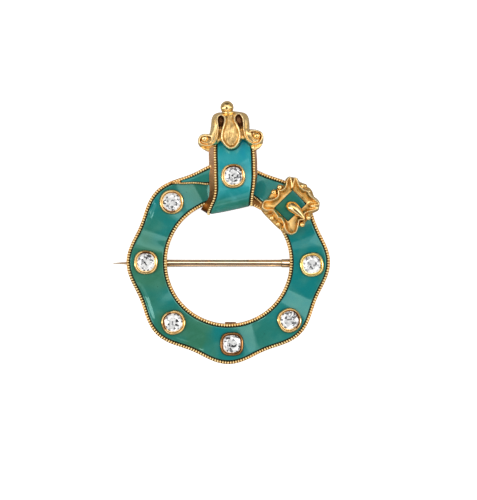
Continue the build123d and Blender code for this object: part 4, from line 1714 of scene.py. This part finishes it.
    def zones(self) -> dict[str, np.ndarray]:
        """The places that the ridge runs round.

        Returns:
            Closed lines by name.
        """
        line = smooth_rows(self.ridge(), 5)[:, :2]
        parts = {
            "left_cup": (0, 6), "left_hollow": (8, 19), "leaf": (14, 30), "right_hollow": (25, 36),
            "right_cup": (39, 45),
        }
        return {name: line[5 * first : 5 * last + 1] for name, (first, last) in parts.items()}

    def height(self, points: np.ndarray) -> np.ndarray:
        """The upper face's height.

        Args:
            points: Rows of x and y.

        Returns:
            The height at each point.
        """
        x, y = points.T
        away, level = nearest(points, smooth_rows(self.ridge(), 5))
        edge = nearest(points, self.outline(), loop=True)[0]
        rise = np.sqrt(1 - (1 - np.clip(edge / self.shoulder_reach, 0, 1)) ** 2)
        low_edge = self.volute_low + (self.shoulder_low - self.volute_low) * ease(y, 17.6, 18.9)
        height = low_edge + (self.shoulder_high - low_edge) * rise
        depth, place, width = self.groove
        groove = depth * np.exp(-(((away - place) / width) ** 2))
        height = height - groove * (1 - ease(y, 16.3, 16.9))
        height = height - self.collar_fall * ease(y, 20.2, 21.1)
        zones = self.zones()
        deeper = (self.hollow_depth - self.hollow_shallow) * ease(y, 18.5, 19.8)
        sunk = self.hollow_shallow + deeper
        pit = self.shoulder_high + 0.1 - sunk * ease(away, 0.05, 0.3)
        for name in ("left_hollow", "right_hollow"):
            height = np.where(inside(points, zones[name]), pit, height)
        dish = level - self.dish_depth * ease(away, 0.04, 0.5)
        dish = dish + self.wrinkle * ripple(x, 0.25 * y, 0.42, 5) * ease(away, 0.12, 0.4)
        height = np.where(inside(points, zones["leaf"]), dish, height)
        cup = level - self.cup_depth * ease(away, 0.05, 0.32)
        for name in ("left_cup", "right_cup"):
            height = np.where(inside(points, zones[name]), cup, height)
        near_ridge = np.exp(-((away / self.ridge_width) ** 2))
        return np.minimum(height + (level - height) * near_ridge, self.top)

    def under(self, points: np.ndarray) -> np.ndarray:
        """The lower face's height.

        Args:
            points: Rows of x and y.

        Returns:
            The height at each point.
        """
        x, y = points.T
        bud = (y > self.strap_end) & (x > -2.62) & (x < 3.0)
        return np.where(bud, self.back, self.volute_back)

    def finial(self, draft: Draft) -> None:
        """Adds the balls of the volutes, the collar and the bead above it.

        Args:
            draft: The mesh in the making.
        """
        around = np.linspace(0, 2 * math.pi, 40, endpoint=False)
        profile = [
            (20.55, 0.8), (20.75, 1.0), (20.87, 1.08), (21.0, 1.1), (21.12, 1.02), (21.18, 0.84),
            (21.2, 0.68), (21.26, 0.64), (21.34, 0.6), (21.4, 0.4),
        ]
        (middle, level), (width, tall) = self.collar_middle, self.collar_form
        rings = []
        for y, radius in profile:
            x = middle + width * radius * np.cos(around)
            z = level + tall * radius * np.sin(around)
            rings.append(np.column_stack([x, np.full(len(x), y), z]))
        draft.rings(np.array(rings))
        draft.balls([(-0.18, 21.68, level, 0.93)], fine=4)
        draft.balls([(-3.3, 17.3, 3.98, 0.5), (4.02, 17.68, 4.0, 0.52)], fine=3)

    def build(self) -> None:
        """Makes the terminal's casting and its finial."""
        draft = Draft()
        Relief(self.outline(), self.spacing).fill(draft, self.height, self.under)
        piece = draft.make(
            "terminal_casting", self.finishes.gold, replaces=["terminal"], sharp=120
        )
        self.tint(piece)
        draft = Draft()
        self.finial(draft)
        draft.make("terminal_finial", self.finishes.bright_gold)

    def tint(self, piece: Object) -> None:
        """Paints a highlight on the ridge, shade in the hollows and a satin finish on the leaf.

        Args:
            piece: The casting.
        """
        places, heights = face_places(piece)
        away = nearest(places, smooth_rows(self.ridge(), 5))[0]
        upper = heights > self.volute_low - 0.6
        zones = self.zones()
        # 1 is a painted highlight on the ridge, 2 the leaf's satin finish, 3 painted shade in the
        # hollows.
        shades = np.where(upper & (away < 0.12), 1, 0)
        shades[inside(places, zones["leaf"]) & (away > 0.16) & upper] = 2
        for name in ("left_hollow", "right_hollow"):
            shades[inside(places, zones[name]) & (away > 0.14) & (places[:, 1] > 19.0)] = 3
        finishes = self.finishes
        paint_faces(piece, [finishes.ridge_highlight_gold, finishes.leaf_gold, finishes.hollow_shade_gold], shades)


@dataclass
class Buckle:
    """The ruffled square buckle and its tongue.

    Attributes:
        x: How far right of the ring's middle the buckle lies, in millimetres as all its sizes.
        y: How far above it.
        base: The height of its back.
        depth: How far its ridge stands above that.
        ridge_width: How wide the ridge is.
        fold_width: How wide the four folds are that run out from the ridge.
        ball: The radius of its balls.
        spacing: How far apart the casting's points lie.
    """

    finishes: Finishes
    x: float = 8.74
    y: float = 7.93
    base: float = 3.64
    depth: float = 1.15
    ridge_width: float = 0.16
    fold_width: float = 0.13
    ball: float = 0.38
    spacing: float = 0.047

    def ring(self, rows: Sequence[Sequence[float]]) -> np.ndarray:
        """Places round the buckle, from rows of an angle in degrees and a radius."""
        angle, radius = np.radians([row[0] for row in rows]), np.array([row[1] for row in rows])
        return np.column_stack([self.x + radius * np.cos(angle), self.y + radius * np.sin(angle)])

    def ridge(self) -> np.ndarray:
        """The ruffled ridge.

        Returns:
            Rows of x and y.
        """
        rows = [
            (5, 3.91), (16, 3.33), (26, 3.03), (36, 3.02), (43, 2.98), (49, 2.78), (57, 2.8),
            (64, 2.87), (71, 3.2), (75, 3.5), (79, 3.89), (82, 3.8), (85, 2.65), (87, 2.62),
            (90, 3.7), (94, 3.9), (99, 3.5), (104, 2.81), (113, 2.5), (122, 2.46), (127, 2.62),
            (131, 2.66), (136, 2.36), (147, 2.2), (157, 2.4), (165, 2.84), (169, 3.6), (176, 3.9),
            (184, 3.9), (190, 3.49), (194, 2.62), (204, 2.42), (215, 2.36), (224, 2.42),
            (232, 2.24), (246, 2.55), (256, 3.27), (263, 3.75), (272, 3.96), (281, 3.72),
            (287, 3.16), (296, 2.44), (304, 2.36), (312, 2.6), (318, 2.5), (326, 2.19),
            (338, 2.4), (349, 3.26), (354, 3.76), (356.5, 3.6), (358, 2.86), (359.5, 2.9),
            (2, 3.8),
        ]
        return closed_curve(self.ring(rows), 4)

    def edge(self) -> np.ndarray:
        """The outer edge.

        Returns:
            Rows of x and y.
        """
        rows = [
            (6, 4.05), (13, 3.85), (22, 3.5), (33, 3.6), (43, 3.62), (48, 3.5), (53, 3.68),
            (64, 3.56), (71, 3.6), (77, 3.94), (86, 3.98), (94, 4.06), (101, 3.76), (104, 3.35),
            (111, 3.02), (116, 3.3), (124, 3.33), (132, 3.08), (140, 3.32), (149, 3.3),
            (163, 3.45), (170, 3.92), (176, 4.08), (184, 4.14), (191, 4.14), (201, 3.83),
            (215, 3.58), (235, 3.58), (254, 3.87), (262, 3.96), (272, 4.1), (282, 3.8),
            (287, 3.31), (293, 3.24), (304, 3.36), (313, 3.1), (321, 3.2), (327, 3.28),
            (336, 3.08), (344, 3.47), (350, 3.9), (358, 4.0),
        ]
        return closed_curve(self.ring(rows), 5)

    def opening(self) -> np.ndarray:
        """The square opening.

        Returns:
            Rows of x and y.
        """
        corners = self.ring([(83, 2.23), (187.5, 2.36), (260, 2.28), (366.5, 2.24)])
        points = []
        for corner, following in zip(corners, np.roll(corners, -1, axis=0)):
            for share in np.linspace(0, 1, 28, endpoint=False):
                points.append(corner + share * (following - corner))
        return np.array(points)

    def height(self, points: np.ndarray) -> np.ndarray:
        """The upper face's height.

        Args:
            points: Rows of x and y.

        Returns:
            The height at each point.
        """
        x, y = points[:, 0] - self.x, points[:, 1] - self.y
        angle, radius = np.degrees(np.arctan2(y, x)) % 360, np.hypot(x, y)
        away = nearest(points, self.ridge(), loop=True)[0]
        from_edge = nearest(points, self.edge(), loop=True)[0]
        from_hole = nearest(points, self.opening(), loop=True)[0]
        # Heights are shares of the depth, and fall off from the ridge to the hole and the edge.
        inner = 0.14 + 0.62 * (from_hole / (from_hole + away + 1e-6)) ** 1.7
        outer = 0.36 + 0.3 * (from_edge / (from_edge + away + 1e-6)) ** 1.5
        # The lower left corner is stepped down, and the outer edge is rounded.
        step = ease(radius, 2.78, 2.95) * ease(angle, 197, 203) * (1 - ease(angle, 245, 252))
        outer = outer + (0.16 - outer) * step
        outer = outer * (0.35 + 0.65 * np.sqrt(1 - (1 - np.clip(from_edge / 0.18, 0, 1)) ** 2))
        share = np.where(inside(points, self.ridge()), inner, outer)
        # One fold runs out at each corner: its angle, its start and its end.
        folds = ((130.5, 2.6, 3.0), (313.0, 2.55, 3.0), (49.0, 2.8, 3.4), (224.0, 2.4, 2.75))
        for fold, start, end in folds:
            gap = nearest(points, self.ring([(fold, start), (fold, end)]))[0]
            share = np.maximum(share, 0.86 * np.exp(-((gap / self.fold_width) ** 2)))
        share = share + (1 - share) * np.exp(-((away / self.ridge_width) ** 2))
        return self.base + self.depth * share

    def under(self, points: np.ndarray) -> np.ndarray:
        """The lower face's height, at rows of x and y."""
        return np.full(len(points), self.base)

    def frame(self) -> Object:
        """Makes the ruffled frame with its balls.

        Returns:
            The piece.
        """
        draft = Draft()
        Relief(self.edge(), self.spacing, self.opening()).fill(draft, self.height, self.under)
        # A pair of balls sits at each corner: their angles, radii and heights.
        balls = []
        for angle, radius, share in (
            (121.4, 3.02, 0.62), (141.9, 3.05, 0.62), (300.5, 3.12, 0.62), (324.8, 2.98, 0.62),
            (213.0, 3.16, 0.34), (235.0, 3.13, 0.34), (60.3, 3.14, 0.42), (38.6, 3.1, 0.42),
        ):
            x, y = self.ring([(angle, radius)])[0]
            balls.append((x, y, self.base + share * self.depth, self.ball))
        pearls = Draft()
        pearls.balls(balls, fine=3)
        pearls.make("buckle_pearls", self.finishes.bright_gold)
        piece = draft.make(
            "buckle_casting", self.finishes.gold, replaces=["buckle_frame"], sharp=120
        )
        places, heights = face_places(piece)
        away = nearest(places, self.ridge(), loop=True)[0]
        # Painted shade on the slopes away from the ridge, and a painted highlight on its top.
        shades = np.where(away > 0.24, 2, 0)
        shades[(away < 0.12) & (heights > self.base + 0.5 * self.depth)] = 1
        paint_faces(piece, [self.finishes.ridge_highlight_gold, self.finishes.slope_shade_gold], shades)
        return piece

    def tongue(self) -> Object:
        """Makes the horn-shaped tongue.

        Returns:
            The piece.
        """
        rows = [
            (8.5, 7.92, 3.7, 0.52), (8.65, 7.9, 4.0, 0.64), (8.95, 7.74, 4.3, 0.7),
            (9.35, 7.42, 4.5, 0.65), (9.85, 6.95, 4.7, 0.48), (10.3, 6.46, 4.84, 0.29),
            (10.58, 6.08, 4.92, 0.1),
        ]
        draft = Draft()
        draft.tube(smooth_rows(rows, 8), sides=24, flat=1.12, up=(-0.6, -0.8, 0.25))
        return draft.make(
            "tongue_horn", self.finishes.bright_gold, replaces=["buckle_tongue"]
        )

    def build(self) -> None:
        """Makes the buckle's pieces."""
        self.frame()
        self.tongue()


@dataclass
class Jewel:
    """One stone in its collet.

    Attributes:
        name: Which stone it is.
        x: How far right of the ring's middle it sits, in millimetres as all its sizes.
        y: How far above it.
        lip: The height of the collet's lip.
        power: 2 for a round outline, more for one with four soft corners.
        turn: How far the corners are turned, in degrees.
        shade: Where painted shade lies on the lip's inner slope: its direction and half spread, in
            degrees.
        radius: The collet's greatest radius.
        body_radius: The radius of its body.
        height: How far its foot lies below its lip.
        slope: How wide the lip's outer slope is, which stays bright.
        slope_depth: How far the painted shade reaches down from the lip.
        sink: How far below the lip the stone's own heights start.
    """

    finishes: Finishes
    name: str
    x: float
    y: float
    lip: float
    power: float
    turn: float
    shade: tuple[float, float] | None
    radius: float = 1.72
    body_radius: float = 1.54
    height: float = 1.4
    slope: float = 0.2
    slope_depth: float = 0.3
    sink: float = 0.1

    def collet(self) -> Object:
        """Makes the gold collet.

        Returns:
            The piece.
        """
        profile = [
            (1.0, -self.height),
            (self.body_radius, -self.height),
            (self.body_radius, -0.5),
            (self.radius - 0.04, -0.34),
            (self.radius, -0.2),
            (self.radius - 0.05, -0.07),
            (self.radius - 0.15, 0.0),
            (self.radius - 0.23, -0.03),
            (self.radius - 0.29, -0.14),
            (self.radius - 0.33, -0.2),
            (self.radius - 0.37, -0.15),
            (self.radius - 0.42, -0.16),
            (self.radius - 0.46, -0.24),
            (self.radius - 0.47, -0.6),
        ]
        draft = Draft()
        draft.lathe(profile, (self.x, self.y, self.lip), 72, self.power, self.turn)
        # The bottom collet is all painted shade, the right one painted light.
        golds = {"bottom": self.finishes.shaded_collet_gold, "right": self.finishes.lit_collet_gold}
        gold = golds.get(self.name, self.finishes.collet_gold)
        piece = draft.make(
            f"collet_{self.name}", gold, replaces=[f"setting_{self.name}"]
        )
        if self.shade is not None:
            self.darken(piece, *self.shade)
        return piece

    def darken(self, piece: Object, middle: float, spread: float) -> None:
        """Paints shade on an arc of the lip's inner slope.

        Args:
            piece: The collet.
            middle: The direction of the arc's middle, in degrees.
            spread: How far it reaches to either side.
        """
        places, heights = face_places(piece)
        around = np.degrees(np.arctan2(places[:, 1] - self.y, places[:, 0] - self.x))
        away = np.hypot(places[:, 0] - self.x, places[:, 1] - self.y)
        near = abs((around - middle + 180) % 360 - 180) < spread
        inner = (away < self.radius - self.slope) & (heights > self.lip - self.slope_depth)
        paint_faces(piece, [self.finishes.shaded_collet_gold], near & inner)

    def stone(self) -> Object:
        """Makes the faceted stone.

        Returns:
            The piece.
        """
        # Table, crown, both edges of the girdle, pavilion and culet: the radius, the height, how
        # many corners there are and how far round they start.
        rows = (
            (0.74, 0.16, 8, 0.5), (1.03, 0.06, 8, 0.0), (1.3, -0.14, 16, 0.5),
            (1.3, -0.2, 16, 0.5), (0.8, -0.62, 8, 0.0), (0.12, -1.15, 8, 0.5),
        )
        shape = bmesh.new()
        for radius, height, count, step in rows:
            for index in range(count):
                around = 2 * math.pi * (index + step) / count
                reach = soft_square(around, self.power) * radius
                turned = around + math.radians(self.turn)
                shape.verts.new((reach * math.cos(turned), reach * math.sin(turned), height))
        bmesh.ops.convex_hull(shape, input=shape.verts)
        bmesh.ops.dissolve_limit(
            shape, angle_limit=math.radians(1), verts=shape.verts, edges=shape.edges
        )
        shape.verts.index_update()
        middle = np.array([self.x, self.y, self.lip - self.sink])
        points = np.array([vertex.co for vertex in shape.verts]) + middle
        faces = [[vertex.index for vertex in face.verts] for face in shape.faces]
        shape.free()
        draft = Draft()
        draft.add(points, faces)
        return draft.make(
            f"gem_{self.name}",
            self.finishes.stone,
            replaces=[f"stone_{self.name}"],
            sharp=None,
        )

    def build(self) -> None:
        """Makes the collet and the stone."""
        self.collet()
        self.stone()


@dataclass
class Fittings:
    """The pin and the back fittings, whose solids keep their own shape.

    Attributes:
        edge: How wide the softened edges are, in metres.
    """

    finishes: Finishes
    edge: float = 0.00005

    def build(self) -> None:
        """Dresses the solids in gold and softens their edges."""
        golds = {
            "pin_stem": self.finishes.pin_gold,
            "pin_hinge": self.finishes.gold,
            "hinge_rivet": self.finishes.bright_gold,
            "pin_catch": self.finishes.gold,
            # The back lug is given painted shade.
            "back_lug": self.finishes.hollow_shade_gold,
        }
        for node, material in golds.items():
            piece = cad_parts[node]
            piece.data.materials.clear()
            piece.data.materials.append(material)
            if node in ("pin_hinge", "pin_catch", "back_lug"):
                soft = piece.modifiers.new("soft_edges", "BEVEL")
                soft.width = self.edge
                soft.segments = 2
                soft.limit_method = "ANGLE"
                soft.angle_limit = math.radians(40)
            LOG.info("%s keeps its solid", node)


@dataclass
class Studio:
    """The floor, the lights and the camera.

    Attributes:
        distance: How far the camera hangs above the brooch's face, in metres.
        face_level: The height of that face, in metres.
        floor_half: Half the table top's width, in metres.
        floor_level: Its height, in metres.
        room_grey: The even light that matt surfaces get.
        tent_stops: How bright the tent is from the floor up to its top, in reflections.
        dark_middle: Where its dark middle lies, as seen from below.
        hole_stops: How much light is left from that middle outwards.
        dark_back: Where its dark back lies.
        back_stops: How much light is left from there outwards.
    """

    distance: float = 0.4
    face_level: float = 0.003
    floor_half: float = 0.8
    floor_level: float = -0.00005
    room_grey: float = 0.75
    tent_stops: Stops = (
        (0.0, 0.16), (0.2, 0.28), (0.4, 0.48), (0.6, 0.85), (0.76, 1.35), (1.0, 1.35),
    )
    dark_middle: tuple[float, float] = (-0.14, -0.2)
    hole_stops: Stops = ((0.0, 0.1), (0.39, 0.1), (0.44, 1.0))
    dark_back: tuple[float, float] = (0.0, 0.85)
    back_stops: Stops = ((0.0, 0.3), (0.36, 0.3), (0.45, 1.0))

    def floor(self) -> None:
        """Lays the white table top."""
        mesh = bpy.data.meshes.new("floor")
        near, far, level = -self.floor_half, self.floor_half, self.floor_level
        corners = [(near, near, level), (far, near, level), (far, far, level), (near, far, level)]
        mesh.from_pydata(corners, [], [[0, 1, 2, 3]])
        mesh.materials.append(FloorFinish("table_white").build())
        plane = bpy.data.objects.new("floor", mesh)
        bpy.context.scene.collection.objects.link(plane)

    def softbox(
        self, name: str, place: tuple[float, float, float], size: tuple[float, float], power: float
    ) -> None:
        """Hangs a softbox that faces the brooch.

        Args:
            name: Its name.
            place: Where it hangs, in metres.
            size: Its width and height, in metres.
            power: Its power, in watts.
        """
        light = bpy.data.lights.new(name, "AREA")
        light.shape = "RECTANGLE"
        light.size, light.size_y = size
        light.energy = power
        lamp = bpy.data.objects.new(name, light)
        lamp.location = place
        back = np.array(place) / np.linalg.norm(place)
        lamp.rotation_mode = "QUATERNION"
        lamp.rotation_quaternion = Vector(back).to_track_quat("Z", "Y")
        lamp.visible_camera = False
        bpy.context.scene.collection.objects.link(lamp)

    def world(self) -> None:
        """Fills the room: even light on matt surfaces, a tent with a dark middle in reflections."""
        room = bpy.data.worlds.new("studio")
        room.use_nodes = True
        tree = room.node_tree
        back = tree.nodes["Background"]
        path = tree.nodes.new("ShaderNodeLightPath")
        sky = tree.nodes.new("ShaderNodeTexCoord").outputs["Generated"]
        split = tree.nodes.new("ShaderNodeSeparateXYZ")
        flat = tree.nodes.new("ShaderNodeVectorMath")
        flat.operation = "MULTIPLY"
        flat.inputs[1].default_value = (1, 1, 0)
        tree.links.new(sky, split.inputs[0])
        tree.links.new(sky, flat.inputs[0])
        shade = add_ramp(tree, split.outputs["Z"], self.tent_stops)
        holes = ((self.dark_middle, self.hole_stops), (self.dark_back, self.back_stops))
        for middle, stops in holes:
            gap = tree.nodes.new("ShaderNodeVectorMath")
            gap.operation = "DISTANCE"
            gap.inputs[1].default_value = (*middle, 0)
            tree.links.new(flat.outputs[0], gap.inputs[0])
            both = tree.nodes.new("ShaderNodeVectorMath")
            both.operation = "MULTIPLY"
            tree.links.new(shade, both.inputs[0])
            tree.links.new(add_ramp(tree, gap.outputs["Value"], stops), both.inputs[1])
            shade = both.outputs[0]
        tone = tree.nodes.new("ShaderNodeMix")
        tone.data_type = "RGBA"
        tone.inputs[6].default_value = (self.room_grey, self.room_grey, self.room_grey, 1)
        tree.links.new(shade, tone.inputs[7])
        tree.links.new(path.outputs["Is Glossy Ray"], tone.inputs[0])
        tree.links.new(tone.outputs[2], back.inputs["Color"])
        back.inputs["Strength"].default_value = 1.0
        bpy.context.scene.world = room

    def camera(self) -> None:
        """Hangs the camera straight above, framed as the photograph."""
        eye = bpy.data.cameras.new("camera")
        eye.sensor_width = 36
        eye.lens = eye.sensor_width * self.distance / (PHOTO_HEIGHT * PIXEL * MM)
        eye.clip_start, eye.clip_end = 0.01, 10
        holder = bpy.data.objects.new("camera", eye)
        x = RING_CENTRE[0] + (PHOTO_MIDDLE[0] - RING_PIXEL[0]) * PIXEL
        y = RING_CENTRE[1] + (RING_PIXEL[1] - PHOTO_MIDDLE[1]) * PIXEL
        holder.location = (x * MM, y * MM, self.face_level + self.distance)
        bpy.context.scene.collection.objects.link(holder)
        bpy.context.scene.camera = holder

    def build(self) -> None:
        """Sets up the whole studio."""
        bpy.context.scene.view_settings.view_transform = "Standard"
        self.floor()
        self.world()
        self.camera()
        self.softbox("top_softbox", (0.075, 0.085, 0.3), (0.3, 0.1), 0.14)
        self.softbox("left_strip", (-0.26, -0.03, 0.16), (0.06, 0.42), 0.36)
        self.softbox("right_strip", (0.32, 0.02, 0.14), (0.08, 0.3), 0.1)
        self.softbox("front_strip", (0.0, -0.3, 0.12), (0.4, 0.06), 0.08)
        LOG.info("studio ready")


def jewels(finishes: Finishes) -> list[Jewel]:
    """The seven stones in their collets, each where its setting's solid stands.

    Args:
        finishes: The brooch's finishes.

    Returns:
        The jewels, in order round the belt, with the strap's last.
    """
    made = []
    # The last column is where the collet's lip gets painted shade.
    for name, power, turn, shade in (
        ("upper_left", 2.1, 0, (250, 40)),
        ("left", 2.4, 0, (95, 32)),
        ("lower_left", 2.3, 20, (165, 62)),
        ("bottom", 2.8, 0, None),
        ("lower_right", 2.3, 30, (10, 60)),
        ("right", 2.4, 10, None),
        ("strap", 2.3, 5, (85, 50)),
    ):
        foot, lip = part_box(f"setting_{name}")
        x = (foot.x + lip.x) / 2 / MM - RING_CENTRE[0]
        y = (foot.y + lip.y) / 2 / MM - RING_CENTRE[1]
        made.append(Jewel(finishes, name, x, y, lip.z / MM, power, turn, shade))
    return made


def main() -> None:
    """Builds the studio and every piece, and reports each."""
    logging.basicConfig(level=logging.INFO, format="%(message)s")
    Studio().build()
    finishes = Finishes()
    Belt(finishes).build()
    Strap(finishes).build()
    Terminal(finishes).build()
    Buckle(finishes).build()
    for jewel in jewels(finishes):
        jewel.build()
    Fittings(finishes).build()


if __name__ == "__main__":
    main()
